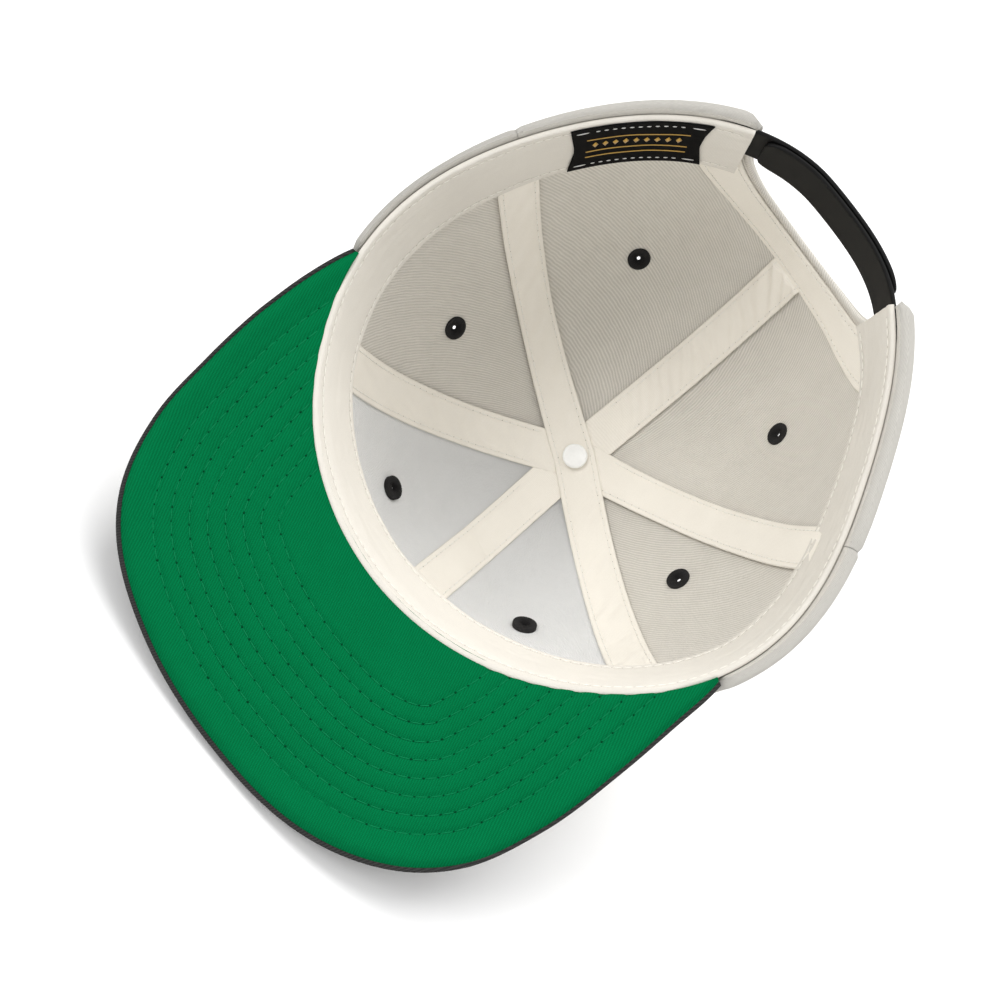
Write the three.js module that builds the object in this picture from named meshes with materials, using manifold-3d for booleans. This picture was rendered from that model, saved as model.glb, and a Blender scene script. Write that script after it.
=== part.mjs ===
// A flat-brim cap lying upturned on its crown and the tip of its peak.
// Millimetres, +Z up. The peak points to -Y, the adjusting strap is at the back, towards +Y.
// Angles go round the opening: 0 is the front, positive towards the wearer's left, which is -X here.
import * as THREE from 'three';
import { mergeVertices } from 'three/addons/utils/BufferGeometryUtils.js';
import Module from 'manifold-3d';

const wasm = await Module();
wasm.setup();

const { PI, sin, cos, abs, min, max, asin, acos, atan2, hypot, sqrt, sign } = Math;
const deg = (d) => (d * PI) / 180;

// Crown
const headGirth = 570;
const crownDepth = 109;
const openingForward = 9.4; // the opening's centre lies this far ahead of the button's
const openingAside = 5; // and this far to +X, because the soft crown leans
const fullnessMean = 2.62; // 2 is an ellipse from rim to button, higher is boxier
const fullnessFore = 0.57; // front and back are boxier than the sides by this
// Out-of-round of the opening, as shares of its mean radius
const rimWaves = [
  { order: 1, fore: -0.082, left: 0.03 },
  { order: 2, fore: 0.044, left: -0.025 },
  { order: 3, fore: -0.041, left: 0.012 },
  { order: 4, fore: 0.018, left: 0 },
];
const clearance = 0.3; // gap between pieces that touch
const cloth = 1.4; // crown wall
const liningGap = 0.9; // tapes and stiffeners lie this far inside it, with room for both pieces' facets
const skin = liningGap + cloth; // from the line that the lining touches to the outside of the crown
const hemExtra = 1.8; // the rolled hem is thicker than the wall by this
const hemHeight = 13;
const hemRound = 1.2;
const restDent = 3; // how far the shoulder of the crown is pressed flat where it rests
const rimRamp = 2; // degrees over which the rim drops beside the peak's ends

const panels = [
  { name: 'panel_front_left', from: -2, to: 56 },
  { name: 'panel_side_left', from: 56, to: 115 },
  { name: 'panel_back_left', from: 115, to: 181 },
  { name: 'panel_back_right', from: 181, to: 251 },
  { name: 'panel_side_right', from: 251, to: 301 },
  { name: 'panel_front_right', from: 301, to: 358 },
];
const panelColumns = 7;
const panelRows = 11;
const columnLeast = 1; // no two columns of a panel are nearer than this, in degrees
const boreReach = 6; // what cuts a hole reaches this far to each side of the cloth
const buttonHole = 3; // radius that the six panels leave open under the button

// Arch at the back
const archWidth = 72;
const archDepth = 52;
const archStraightDepth = 15; // straight sides before the round top
const archSteps = 18;

// Peak
const peakLength = 68;
const peakFrom = -71;
const peakTo = 74;
const boardThick = 2.4;
const underThick = 1;
const peakLip = 1.4; // black edge that shows around the green
const peakLift = 5; // the tip is this much higher than the rim, upturned
const peakCurl = 4; // and the sides this much more
const peakCurlReach = 20;
const peakColumns = 28;
const peakRows = 3;
// How far the peak stands out from the rim at each angle, as shares of its length
const peakOutline = [
  { angle: -71, reach: 0.04 },
  { angle: -60, reach: 0.17 },
  { angle: -50, reach: 0.36 },
  { angle: -40, reach: 0.625 },
  { angle: -32, reach: 0.84 },
  { angle: -24, reach: 0.965 },
  { angle: -14, reach: 1.02 },
  { angle: 0, reach: 1 },
  { angle: 14, reach: 0.978 },
  { angle: 24, reach: 0.945 },
  { angle: 31, reach: 0.868 },
  { angle: 39, reach: 0.7 },
  { angle: 47, reach: 0.495 },
  { angle: 57, reach: 0.29 },
  { angle: 65, reach: 0.16 },
  { angle: 74, reach: 0.035 },
];

// Trim inside
const bandWidth = 30;
const bandThick = 1;
const bandStandBack = 2.2; // the band's free edge stands off the crown by this at the back
const bandStandFront = 8.6; // and by this at the front
const bandColumns = 40;
const bandRows = 3;
const bandSetBack = 1; // the band's ends stop this far short of the arch
const tapeWidth = 16;
const tapeThick = 0.9;
const tapeStartDepth = 22; // trim starts this deep, hidden by the band
const tapeRows = 12;
const tapeColumns = 4;
const stiffenerThick = 0.8;
const stiffenerColumns = 8;
const bindingWidth = 14;
const bindingInset = 2; // turned edge of twill that shows beyond the binding
const bindingColumns = 26;
const bindingRows = 2;
const labelWidth = 46;
const labelHeight = 28;
const labelThick = 0.5;
const labelAngle = 140.5;
const labelColumns = 8;
const eyeletWidth = 8.8;
const eyeletHole = 2.6;
const eyeletBarrel = 5.2;
const eyeletFlange = 0.7;
const eyeletSides = 10;
const eyeletSlack = 0.7; // inside, the flat ring stands this much clear of the hollow cloth
const eyelets = [
  { name: 'eyelet_front_left', panel: 'panel_front_left', angle: 28, depth: 83 },
  { name: 'eyelet_side_left', panel: 'panel_side_left', angle: 85, depth: 79 },
  { name: 'eyelet_back_left', panel: 'panel_back_left', angle: 149, depth: 88 },
  { name: 'eyelet_back_right', panel: 'panel_back_right', angle: 216, depth: 82 },
  { name: 'eyelet_side_right', panel: 'panel_side_right', angle: 275, depth: 82 },
  { name: 'eyelet_front_right', panel: 'panel_front_right', angle: 328.5, depth: 83 },
];

// Button and its backing
const buttonWidth = 14.5;
const buttonHeight = 4.2;
const buttonShankWidth = 4.8;
const buttonEdge = 1; // straight edge below the dome
const buttonSides = 18;
const backingWidth = 9.6;
const backingThick = 1.5;
const backingBevel = 0.5;
const backingSlack = 0.3; // the flat disc's edge meets the hollow of the crown first

// Strap
const strapWidth = 20;
const strapThick = 1.4;
const strapTop = 1; // the strap's edge lies this far below the rim line
const strapInsertLength = 8; // length held between hem and sweatband
const strapEndGap = 4; // each strap's free end stops this far short of the other tab
const strapColumns = 14;
const pocketRamp = 5; // the hem's pocket for a strap's end closes over this depth
const pocketFade = 3; // and over this many degrees
const stepStart = 0.12; // share of a strap's length after which it steps over the other
const stepShare = 0.2; // share of its length that the step takes
const studCount = 6;
const studPitch = 11;
const studHole = 4.8;
const studNeck = 4.2;
const studHead = 5.8;
const studHeadThick = 1;
const studSides = 8;

const paint = (color, roughness, metalness = 0) =>
  new THREE.MeshStandardMaterial({ color, roughness, metalness });
const finishes = {
  twill: paint(0xe6dfd0, 0.9),
  cotton: paint(0xe9e2d4, 0.85),
  buckram: paint(0xdfe1e0, 0.9),
  thread: paint(0x1b1b1b, 0.8),
  green: paint(0x00753f, 0.9),
  black: paint(0x222222, 0.9),
  plastic: paint(0x1d1d1d, 0.45),
  label: paint(0x0c0c0c, 0.8),
  metal: paint(0xd9d9d6, 0.35, 0.6),
};

const smooth = (t) => {
  const s = min(1, max(0, t));
  return s * s * (3 - 2 * s);
};

// Crown surface: the line where the lining pieces touch the cloth, in the cap's own upright frame
function rimReach(angle) {
  const share = (w) => w.fore * cos(w.order * angle) + w.left * sin(w.order * angle);
  return (headGirth / (2 * PI)) * rimWaves.reduce((sum, wave) => sum + share(wave), 1);
}

const fullness = (angle) => fullnessMean + fullnessFore * cos(2 * angle);

function crownAt(angle, depth) {
  const share = min(1, max(0, depth / crownDepth));
  const n = fullness(angle);
  const reach = rimReach(angle) * (1 - share ** n) ** (1 / n);
  return new THREE.Vector3(
    openingAside * (1 - share) - reach * sin(angle),
    -openingForward * (1 - share) - reach * cos(angle),
    -depth,
  );
}

// Depth part of the way along the crown's curve, from a depth to where a share of its width is left
function depthAlong(angle, startDepth, endShare, t) {
  const n = fullness(angle);
  const start = asin((startDepth / crownDepth) ** (n / 2));
  const end = acos(endShare ** (n / 2));
  return crownDepth * sin(start + (end - start) * t) ** (2 / n);
}

const widthAtDepth = (angle, depth) => (1 - (depth / crownDepth) ** fullness(angle)) ** (1 / fullness(angle));

function crownLevel(p) {
  const share = min(1.2, max(0, -p.z / crownDepth));
  const x = p.x - openingAside * (1 - share);
  const y = p.y + openingForward * (1 - share);
  const angle = atan2(-x, -y);
  const n = fullness(angle);
  return (hypot(x, y) / rimReach(angle)) ** n + share ** n - 1;
}

function crownSlope(p) {
  const step = 0.05;
  const along = ['x', 'y', 'z'].map((axis) => {
    const ahead = p.clone();
    const behind = p.clone();
    ahead[axis] += step;
    behind[axis] -= step;
    return (crownLevel(ahead) - crownLevel(behind)) / (2 * step);
  });
  return new THREE.Vector3(...along);
}

const crownNormal = (p) => crownSlope(p).normalize();

// Moves a point near the crown onto it, then outwards by an offset
function settle(point, offset = 0) {
  const p = point.clone();
  for (let turn = 0; turn < 8; turn += 1) {
    const slope = crownSlope(p);
    p.addScaledVector(slope, -crownLevel(p) / slope.lengthSq());
  }
  return p.addScaledVector(crownNormal(p), offset);
}

const archAngle = asin(archWidth / 2 / rimReach(PI));
const pocketAngle = archAngle + strapInsertLength / rimReach(PI);
const fromBack = (angle) => abs(PI - (((angle % (2 * PI)) + 2 * PI) % (2 * PI)));
const wrap = (angle) => atan2(sin(angle), cos(angle));

// 1 where the hem opens for a strap's end
function pocket(angle, depth) {
  const across = 1 - smooth((fromBack(angle) - pocketAngle) / deg(pocketFade));
  const down = 1 - smooth((depth - strapTop - strapWidth - clearance) / pocketRamp);
  return across * down;
}

// Levels of the peak's layers, below the rim line
const peakTop = clearance / 2;
const recess = peakTop + underThick + clearance;
const peakBottom = recess + boardThick;

// The front of the rim is lower, because the peak is sewn over it
function rimDrop(angle) {
  const a = wrap(angle);
  const inside = min(a - deg(peakFrom), deg(peakTo) - a);
  return (peakBottom + clearance) * smooth(inside / deg(rimRamp) + 1);
}

const innerOffset = (angle, depth) => liningGap + pocket(angle, depth) * (strapThick + clearance);

function outerOffset(angle, depth) {
  const hem = hemExtra * (1 - smooth(depth / (2 * hemHeight)));
  const roll = hemRound * (1 - sqrt(1 - (1 - min(1, depth / hemRound)) ** 2));
  return max(skin + hem, innerOffset(angle, depth) + cloth) - roll;
}

// Shapes
function geometryOf(points, faces) {
  const geometry = new THREE.BufferGeometry();
  geometry.setAttribute('position', new THREE.Float32BufferAttribute(points.flatMap((p) => p.toArray()), 3));
  geometry.setIndex(faces.flat());
  return geometry;
}

// A closed solid from sections: each is a loop of as many points, joined to the next and capped at the ends
function sweep(sections, closed = false) {
  const size = sections[0].length;
  const faces = [];
  const last = closed ? sections.length : sections.length - 1;
  for (let i = 0; i < last; i += 1) {
    for (let k = 0; k < size; k += 1) {
      const a = i * size + k;
      const b = i * size + ((k + 1) % size);
      const c = ((i + 1) % sections.length) * size + ((k + 1) % size);
      const d = ((i + 1) % sections.length) * size + k;
      faces.push([a, b, c], [a, c, d]);
    }
  }
  if (!closed) {
    const tail = (sections.length - 1) * size;
    for (let k = 0; k < size / 2 - 1; k += 1) {
      const [a, b, c, d] = [k, k + 1, size - 2 - k, size - 1 - k];
      faces.push([a, c, b], [a, d, c]);
      faces.push([tail + a, tail + b, tail + c], [tail + a, tail + c, tail + d]);
    }
  }
  return outward(geometryOf(sections.flat(), faces));
}

// Turns every face round if the solid's volume comes out negative
function outward(geometry) {
  const p = geometry.attributes.position;
  const index = geometry.index.array;
  const at = (i) => new THREE.Vector3().fromBufferAttribute(p, i);
  let volume = 0;
  for (let i = 0; i < index.length; i += 3) {
    volume += at(index[i]).dot(at(index[i + 1]).cross(at(index[i + 2])));
  }
  if (volume < 0) {
    for (let i = 0; i < index.length; i += 3) {
      [index[i], index[i + 1]] = [index[i + 1], index[i]];
    }
  }
  return geometry;
}

// A wall: pointAt(i, j, side) gives its two faces, side 0 and 1, over a grid of columns and rows
function wall(columns, rows, pointAt) {
  const sections = [];
  for (let i = 0; i <= columns; i += 1) {
    const loop = [];
    for (let j = 0; j <= rows; j += 1) loop.push(pointAt(i, j, 0));
    for (let j = rows; j >= 0; j -= 1) loop.push(pointAt(i, j, 1));
    sections.push(loop);
  }
  return sweep(sections);
}

function toSolid(geometry) {
  const bare = geometry.clone();
  bare.deleteAttribute('normal');
  bare.deleteAttribute('uv');
  const merged = mergeVertices(bare, 1e-4);
  const mesh = new wasm.Mesh({
    numProp: 3,
    vertProperties: merged.attributes.position.array,
    triVerts: new Uint32Array(merged.index.array),
  });
  mesh.merge();
  return new wasm.Manifold(mesh);
}

function fromSolid(solid) {
  const { vertProperties, triVerts } = solid.getMesh();
  const geometry = new THREE.BufferGeometry();
  geometry.setAttribute('position', new THREE.BufferAttribute(new Float32Array(vertProperties), 3));
  geometry.setIndex(new THREE.BufferAttribute(new Uint32Array(triVerts), 1));
  return geometry;
}

const cut = (geometry, tools) =>
  fromSolid(tools.reduce((solid, tool) => solid.subtract(toSolid(tool)), toSolid(geometry)));
const join = (geometry, extras) =>
  fromSolid(extras.reduce((solid, extra) => solid.add(toSolid(extra)), toSolid(geometry)));

// A lathe shape turned so that its axis follows a direction at a place
function stand(geometry, place, direction) {
  const turn = new THREE.Quaternion().setFromUnitVectors(new THREE.Vector3(0, 0, 1), direction);
  return geometry.applyMatrix4(new THREE.Matrix4().compose(place, turn, new THREE.Vector3(1, 1, 1)));
}

function lathe(profile, sides) {
  const points = profile.map(([radius, height]) => new THREE.Vector2(radius, height));
  return new THREE.LatheGeometry(points, sides).rotateX(PI / 2);
}

const rod = (width, low, high, sides) =>
  lathe([[0, low], [width / 2, low], [width / 2, high], [0, high]], sides);

// Peak
function reachAt(angle) {
  const a = (angle * 180) / PI;
  let k = peakOutline.findIndex((row) => row.angle > a) - 1;
  if (k < 0) k = a < peakOutline[0].angle ? 0 : peakOutline.length - 2;
  const row = (i) => peakOutline[min(peakOutline.length - 1, max(0, i))];
  const [p0, p1, p2, p3] = [row(k - 1), row(k), row(k + 1), row(k + 2)];
  const span = p2.angle - p1.angle;
  const t = (a - p1.angle) / span;
  const m1 = ((p2.reach - p0.reach) / (p2.angle - p0.angle)) * span;
  const m2 = ((p3.reach - p1.reach) / (p3.angle - p1.angle)) * span;
  const blend = (2 * t ** 3 - 3 * t ** 2 + 1) * p1.reach + (t ** 3 - 2 * t ** 2 + t) * m1
    + (3 * t ** 2 - 2 * t ** 3) * p2.reach + (t ** 3 - t ** 2) * m2;
  return peakLength * blend;
}

// A point of the peak: out is measured from the rim, down from the peak's upturned face
function peakAt(angle, out, down) {
  const reach = rimReach(angle) + clearance + out;
  const lift = (peakLift * out) / peakLength + peakCurl * sin(angle) ** 2 * min(1, out / peakCurlReach);
  return new THREE.Vector3(
    openingAside - reach * sin(angle),
    -openingForward - reach * cos(angle),
    lift - down,
  );
}

function peakSections(loopAt) {
  const sections = [];
  for (let i = 0; i <= peakColumns; i += 1) {
    const angle = deg(peakFrom + ((peakTo - peakFrom) * i) / peakColumns);
    sections.push(loopAt(angle, reachAt(angle)));
  }
  return sections;
}

function peakUpperGeometry() {
  return sweep(peakSections((angle, reach) => {
    const lip = min(peakLip, reach / 2);
    const floor = reach - lip;
    const round = lip / 2;
    const top = [];
    const bottom = [];
    for (let j = 0; j <= peakRows; j += 1) {
      top.push(peakAt(angle, (floor * j) / peakRows, recess));
      bottom.push(peakAt(angle, (floor * j) / peakRows, peakBottom));
    }
    const edge = [
      peakAt(angle, floor, peakTop + clearance),
      peakAt(angle, reach - round, peakTop + clearance),
      peakAt(angle, reach, peakTop + clearance + round),
      peakAt(angle, reach, peakBottom - round),
      peakAt(angle, reach - round, peakBottom),
    ];
    return [...top, ...edge, ...bottom.reverse()];
  }));
}

function peakUnderGeometry() {
  return sweep(peakSections((angle, reach) => {
    const width = reach - min(peakLip, reach / 2) - clearance;
    const top = [];
    const bottom = [];
    for (let j = 0; j <= peakRows; j += 1) {
      top.push(peakAt(angle, (width * j) / peakRows, peakTop));
      bottom.push(peakAt(angle, (width * j) / peakRows, peakTop + underThick));
    }
    return [...top, ...bottom.reverse()];
  }));
}

// How the cap lies: tipped forward until the peak's tip and the pressed shoulder of the crown both touch
const peakUpper = peakUpperGeometry();

function lowestWhenTipped(points, tip) {
  return points.reduce((low, p) => min(low, p.y * sin(tip) + p.z * cos(tip)), Infinity);
}

function findRest() {
  const place = peakUpper.attributes.position;
  const peakPoints = [];
  for (let i = 0; i < place.count; i += 1) peakPoints.push(new THREE.Vector3().fromBufferAttribute(place, i));
  const crownPoints = [];
  for (let angle = -60; angle <= 60; angle += 5) {
    for (let share = 0.5; share < 1; share += 0.01) {
      const p = crownAt(deg(angle), crownDepth * share);
      crownPoints.push(p.addScaledVector(crownNormal(p), skin));
    }
  }
  let [low, high] = [0, PI / 2];
  for (let turn = 0; turn < 40; turn += 1) {
    const tip = (low + high) / 2;
    const gap = lowestWhenTipped(crownPoints, tip) + restDent - lowestWhenTipped(peakPoints, tip);
    if (gap < 0) low = tip;
    else high = tip;
  }
  return { tip: low, floor: lowestWhenTipped(peakPoints, low) };
}

const rest = findRest();
const lie = new THREE.Matrix4().makeTranslation(0, 0, -rest.floor);
lie.multiply(new THREE.Matrix4().makeRotationX(rest.tip));

// Lays a point of the crown down, and presses it flat where the crown rests
function lay(p, offset) {
  const laid = p.clone().applyMatrix4(lie);
  laid.z = max(laid.z, skin - offset);
  return laid;
}

const onCrown = (point, offset) => lay(settle(point, offset), offset);

// Crown panels
function columnAngles(from, to) {
  const angles = Array.from({ length: panelColumns + 1 }, (_, i) => from + ((to - from) * i) / panelColumns);
  const backs = [pocketAngle, pocketAngle + deg(pocketFade)].flatMap((a) => [PI - a, PI + a]);
  const corners = [peakFrom, peakFrom - rimRamp, peakTo, peakTo + rimRamp];
  const fronts = corners.flatMap((a) => [deg(a), deg(a) + 2 * PI]);
  for (const extra of [...backs, ...fronts]) {
    if (extra > from + deg(columnLeast) && extra < to - deg(columnLeast)) angles.push(extra);
  }
  return angles.sort((a, b) => a - b);
}

function rowDepths(angle) {
  const drop = rimDrop(angle);
  const hem = [0, 0.3 * hemRound, hemRound, hemHeight, strapTop + strapWidth, 2 * hemHeight];
  const rows = hem.map((d) => d + drop * (1 - d / (2 * hemHeight)));
  const end = buttonHole / rimReach(angle);
  for (let j = 1; j <= panelRows; j += 1) {
    rows.push(depthAlong(angle, 2 * hemHeight, end, j / panelRows));
  }
  return rows;
}

function panelGeometry({ from, to }) {
  const angles = columnAngles(deg(from), deg(to));
  const depths = angles.map(rowDepths);
  const seam = (angle, depth, turn) => {
    return turn * asin(min(0.5, clearance / 2 / (rimReach(angle) * widthAtDepth(angle, depth))));
  };
  const geometry = wall(angles.length - 1, depths[0].length - 1, (i, j, side) => {
    const depth = depths[i][j];
    let angle = angles[i];
    if (i === 0) angle += seam(angle, depth, 1);
    if (i === angles.length - 1) angle += seam(angle, depth, -1);
    const p = crownAt(angle, depth);
    const offset = side ? outerOffset(angle, depth - rimDrop(angle)) : innerOffset(angle, depth);
    p.addScaledVector(crownNormal(p), offset);
    return lay(p, offset);
  });
  return geometry;
}

// Arch: a straight-sided opening with a round top, cut through the back of the crown
const archCentre = crownAt(PI, archStraightDepth).x;

// A point of the arch's edge in the plane of the back, from one tab over the top to the other
function archEdge(t, grow) {
  const half = archWidth / 2 + grow;
  const rise = archDepth - archStraightDepth + grow;
  const side = archStraightDepth / (2 * archStraightDepth + (PI * (half + rise)) / 2);
  if (t < side) return { x: -half, z: -(archStraightDepth * t) / side };
  if (t > 1 - side) return { x: half, z: -(archStraightDepth * (1 - t)) / side };
  const turn = (PI * (t - side)) / (1 - 2 * side);
  return { x: -half * cos(turn), z: -archStraightDepth - rise * sin(turn) };
}

function archCutter() {
  const above = 20;
  const outline = new THREE.Shape();
  outline.moveTo(-archWidth / 2, above);
  for (let i = 0; i <= archSteps; i += 1) {
    const { x, z } = archEdge(i / archSteps, 0);
    outline.lineTo(x, z);
  }
  outline.lineTo(archWidth / 2, above);
  const reach = 2 * crownDepth;
  const block = new THREE.ExtrudeGeometry(outline, { depth: reach, bevelEnabled: false, steps: 1 });
  return block.rotateX(PI / 2).translate(archCentre, reach, 0).applyMatrix4(lie);
}

// A point on the back of the crown, found from its place across and down
function onBack(x, depth, offset) {
  let angle = PI;
  for (let turn = 0; turn < 12; turn += 1) {
    const p = crownAt(angle, depth);
    angle += (x - p.x) / (rimReach(angle) * abs(cos(angle)));
  }
  return onCrown(crownAt(angle, depth), offset);
}

function eyeletSeat({ angle, depth, panel }) {
  const lined = panel.includes('front') ? stiffenerThick : -liningGap;
  const place = crownAt(deg(angle), depth);
  return { place, direction: crownNormal(place), lined };
}

function eyeletGeometry(row) {
  const { lined } = eyeletSeat(row);
  const inner = -lined - eyeletSlack;
  const outer = skin + clearance;
  return lathe([
    [eyeletHole / 2, inner - eyeletFlange],
    [eyeletWidth / 2, inner - eyeletFlange],
    [eyeletWidth / 2, inner],
    [eyeletBarrel / 2, inner],
    [eyeletBarrel / 2, outer],
    [eyeletWidth / 2, outer],
    [eyeletWidth / 2, outer + eyeletFlange],
    [eyeletHole / 2, outer + eyeletFlange],
    [eyeletHole / 2, inner - eyeletFlange],
  ], eyeletSides);
}

function eyeletBore(row) {
  const { place, direction } = eyeletSeat(row);
  const bore = rod(eyeletBarrel + 3 * clearance, -boreReach, boreReach, eyeletSides);
  return stand(bore, place, direction).applyMatrix4(lie);
}

// Front stiffeners fill the space between the seam tapes, on the same rows as the panels behind them
function stiffenerGeometry({ from, to }) {
  const [first, last] = [deg(from), deg(to)];
  const margin = tapeWidth / 2 + 2 * clearance;
  const depthAt = (angle, j) => depthAlong(angle, 2 * hemHeight, buttonHole / rimReach(angle), j / panelRows);
  const radiusAt = (angle, j) => rimReach(angle) * widthAtDepth(angle, depthAt(angle, j));
  const narrowest = (margin + 2) / sin((last - first) / 2);
  let rows = 1;
  while (radiusAt(first, rows + 1) > narrowest) rows += 1;
  return wall(stiffenerColumns, rows, (i, j, side) => {
    const a = first + asin(margin / radiusAt(first, j));
    const b = last - asin(margin / radiusAt(last, j));
    const angle = a + ((b - a) * i) / stiffenerColumns;
    return onCrown(crownAt(angle, depthAt(angle, j)), side ? 0 : -stiffenerThick);
  });
}

// Seam tapes: strips along a seam towards the middle, each ending where its neighbours' edges are
const tapeOffset = (side) => (side ? 0 : -tapeThick);
const halfTape = tapeWidth / 2;
const acrossSeam = (angle) => new THREE.Vector3(-cos(angle), sin(angle), 0);

function tapeEnd(seam, neighbours, aside) {
  const ends = neighbours.map((other) => {
    const turn = wrap(deg(other - seam));
    return (halfTape + 2 * clearance + aside * sign(turn) * cos(turn)) / abs(sin(turn));
  });
  return max(...ends);
}

function tapePoint(seam, t, aside, startDepth, endRadius) {
  const angle = deg(seam);
  const depth = depthAlong(angle, startDepth, endRadius / rimReach(angle), t);
  return crownAt(angle, depth).addScaledVector(acrossSeam(angle), aside);
}

function tapeGeometry(seam, neighbours, startDepth) {
  return wall(tapeRows, tapeColumns, (i, j, side) => {
    const aside = tapeWidth * (j / tapeColumns - 0.5);
    const p = tapePoint(seam, i / tapeRows, aside, startDepth, tapeEnd(seam, neighbours, aside));
    return onCrown(p, tapeOffset(side));
  });
}

// One strip from the left side seam across the middle to the front right seam
function crossTapeGeometry(seamA, seamB) {
  const steps = 2 * tapeRows;
  return wall(steps, tapeColumns, (i, j, side) => {
    const aside = tapeWidth * (j / tapeColumns - 0.5);
    const t = (2 * i) / steps - 1;
    const a = tapePoint(seamA, min(1, 1 - abs(t)), aside, tapeStartDepth, 0);
    const b = tapePoint(seamB, min(1, 1 - abs(t)), -aside, tapeStartDepth, 0);
    const p = t < 0 ? a : b;
    if (t === 0) p.copy(a.lerp(b, 0.5));
    return onCrown(p, tapeOffset(side));
  });
}

// Sweatband: sewn at the rim, its free edge standing off the crown
function bandOff(angle, down) {
  const edge = bandStandBack + (bandStandFront - bandStandBack) * ((1 + cos(angle)) / 2) ** 3;
  return (edge * down) / bandWidth;
}

function bandPoint(angle, down, inward) {
  const p = crownAt(angle, down);
  const offset = -bandOff(angle, down) - inward;
  return lay(p.addScaledVector(crownNormal(p), offset), offset);
}

const bandEnd = PI - archAngle - bandSetBack / rimReach(PI);

function bandGeometry() {
  return wall(bandColumns, bandRows, (i, j, side) => {
    const angle = bandEnd * ((2 * i) / bandColumns - 1);
    return bandPoint(angle, (bandWidth * j) / bandRows, side ? 0 : bandThick);
  });
}

function labelGeometry() {
  const start = (bandWidth - labelHeight) / 2;
  const half = labelWidth / 2 / rimReach(deg(labelAngle));
  return wall(labelColumns, bandRows, (i, j, side) => {
    const angle = deg(labelAngle) + half * ((2 * i) / labelColumns - 1);
    const inward = bandThick + clearance + (side ? 0 : labelThick);
    return bandPoint(angle, start + (labelHeight * j) / bandRows, inward);
  });
}

function bindingGeometry() {
  const first = 0.5 * (tapeStartDepth / (2 * archStraightDepth + PI * archDepth / 2));
  return wall(bindingColumns, bindingRows, (i, j, side) => {
    const t = first + ((1 - 2 * first) * i) / bindingColumns;
    const { x, z } = archEdge(t, bindingInset + (bindingWidth * j) / bindingRows);
    return onBack(archCentre + x, -min(z, -tapeStartDepth), tapeOffset(side));
  });
}

// Straps: both follow the back of the rim, one outside the other, each held in the tab at its own end
const studAt = (k) => PI + (k - (studCount - 1) / 2) * (studPitch / rimReach(PI));

function strapPoint(angle, depth, offset) {
  const p = crownAt(angle, depth);
  return p.addScaledVector(crownNormal(p), offset);
}

function strapGeometry(fromAngle, toAngle, shiftAt) {
  return wall(strapColumns, 1, (i, j, side) => {
    const t = i / strapColumns;
    const angle = fromAngle + (toAngle - fromAngle) * t;
    const depth = strapTop + strapWidth * j;
    const offset = clearance + shiftAt(t) + (side ? strapThick : 0);
    return strapPoint(angle, depth, offset).applyMatrix4(lie);
  });
}

const freeEnd = archAngle - strapEndGap / rimReach(PI);
const strapStep = strapThick + clearance;
const outerShift = (t) => strapStep * smooth((t - stepStart) / stepShare);
const innerShift = (t) => -outerShift(1 - t);

function studTool(k, profile) {
  const angle = studAt(k);
  const depth = strapTop + strapWidth / 2;
  const place = crownAt(angle, depth);
  return stand(profile, place, crownNormal(place)).applyMatrix4(lie);
}

const studs = Array.from({ length: studCount }, (_, k) => k);

function strapOuterGeometry() {
  const body = strapGeometry(PI - pocketAngle, PI + freeEnd, outerShift);
  return cut(body, studs.map((k) => studTool(k, rod(studHole, -boreReach, boreReach, studSides))));
}

function strapInnerGeometry() {
  const body = strapGeometry(PI - freeEnd, PI + pocketAngle, innerShift);
  const root = clearance - strapStep + strapThick / 2;
  const top = 3 * clearance + 2 * strapThick;
  const stud = () => lathe([
    [0, root], [studNeck / 2, root], [studNeck / 2, top], [studHead / 2, top],
    [studHead / 2, top + studHeadThick / 2], [studHead / 4, top + studHeadThick], [0, top + studHeadThick],
  ], studSides);
  return join(body, studs.map((k) => studTool(k, stud())));
}

function buttonGeometry() {
  const seat = skin + clearance;
  const profile = [
    [0, clearance],
    [buttonShankWidth / 2, clearance],
    [buttonShankWidth / 2, seat],
    [buttonWidth / 2 - buttonEdge, seat],
    [buttonWidth / 2, seat + buttonEdge],
  ];
  const steps = 4;
  for (let i = 1; i <= steps; i += 1) {
    const turn = (PI / 2) * (i / steps);
    const rise = (buttonHeight - buttonEdge) * sin(turn);
    profile.push([(buttonWidth / 2) * cos(turn), seat + buttonEdge + rise]);
  }
  profile[profile.length - 1][0] = 0;
  return lathe(profile, buttonSides);
}

function backingGeometry() {
  const face = -tapeThick - clearance - backingSlack;
  return lathe([
    [0, face - backingThick],
    [backingWidth / 2 - backingBevel, face - backingThick],
    [backingWidth / 2, face - backingThick + backingBevel],
    [backingWidth / 2, face],
    [0, face],
  ], buttonSides);
}

// The cap as a tree of named meshes
const cap = new THREE.Group();
const upturned = new THREE.Group(); // stiff pieces, placed upright and then tipped
upturned.applyMatrix4(lie);
cap.add(upturned);

function add(name, geometry, material, parent = cap) {
  const mesh = new THREE.Mesh(geometry, material);
  mesh.name = name;
  parent.add(mesh);
  return mesh;
}

for (const panel of panels) {
  const tools = eyelets.filter((row) => row.panel === panel.name).map(eyeletBore);
  if (panel.name.includes('back')) tools.push(archCutter());
  add(panel.name, cut(panelGeometry(panel), tools), finishes.twill);
}

for (const panel of panels.filter((row) => row.name.includes('front'))) {
  const bores = eyelets.filter((row) => row.panel === panel.name).map(eyeletBore);
  const name = panel.name.replace('panel_front', 'stiffener');
  add(name, cut(stiffenerGeometry(panel), bores), finishes.buckram);
}

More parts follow.
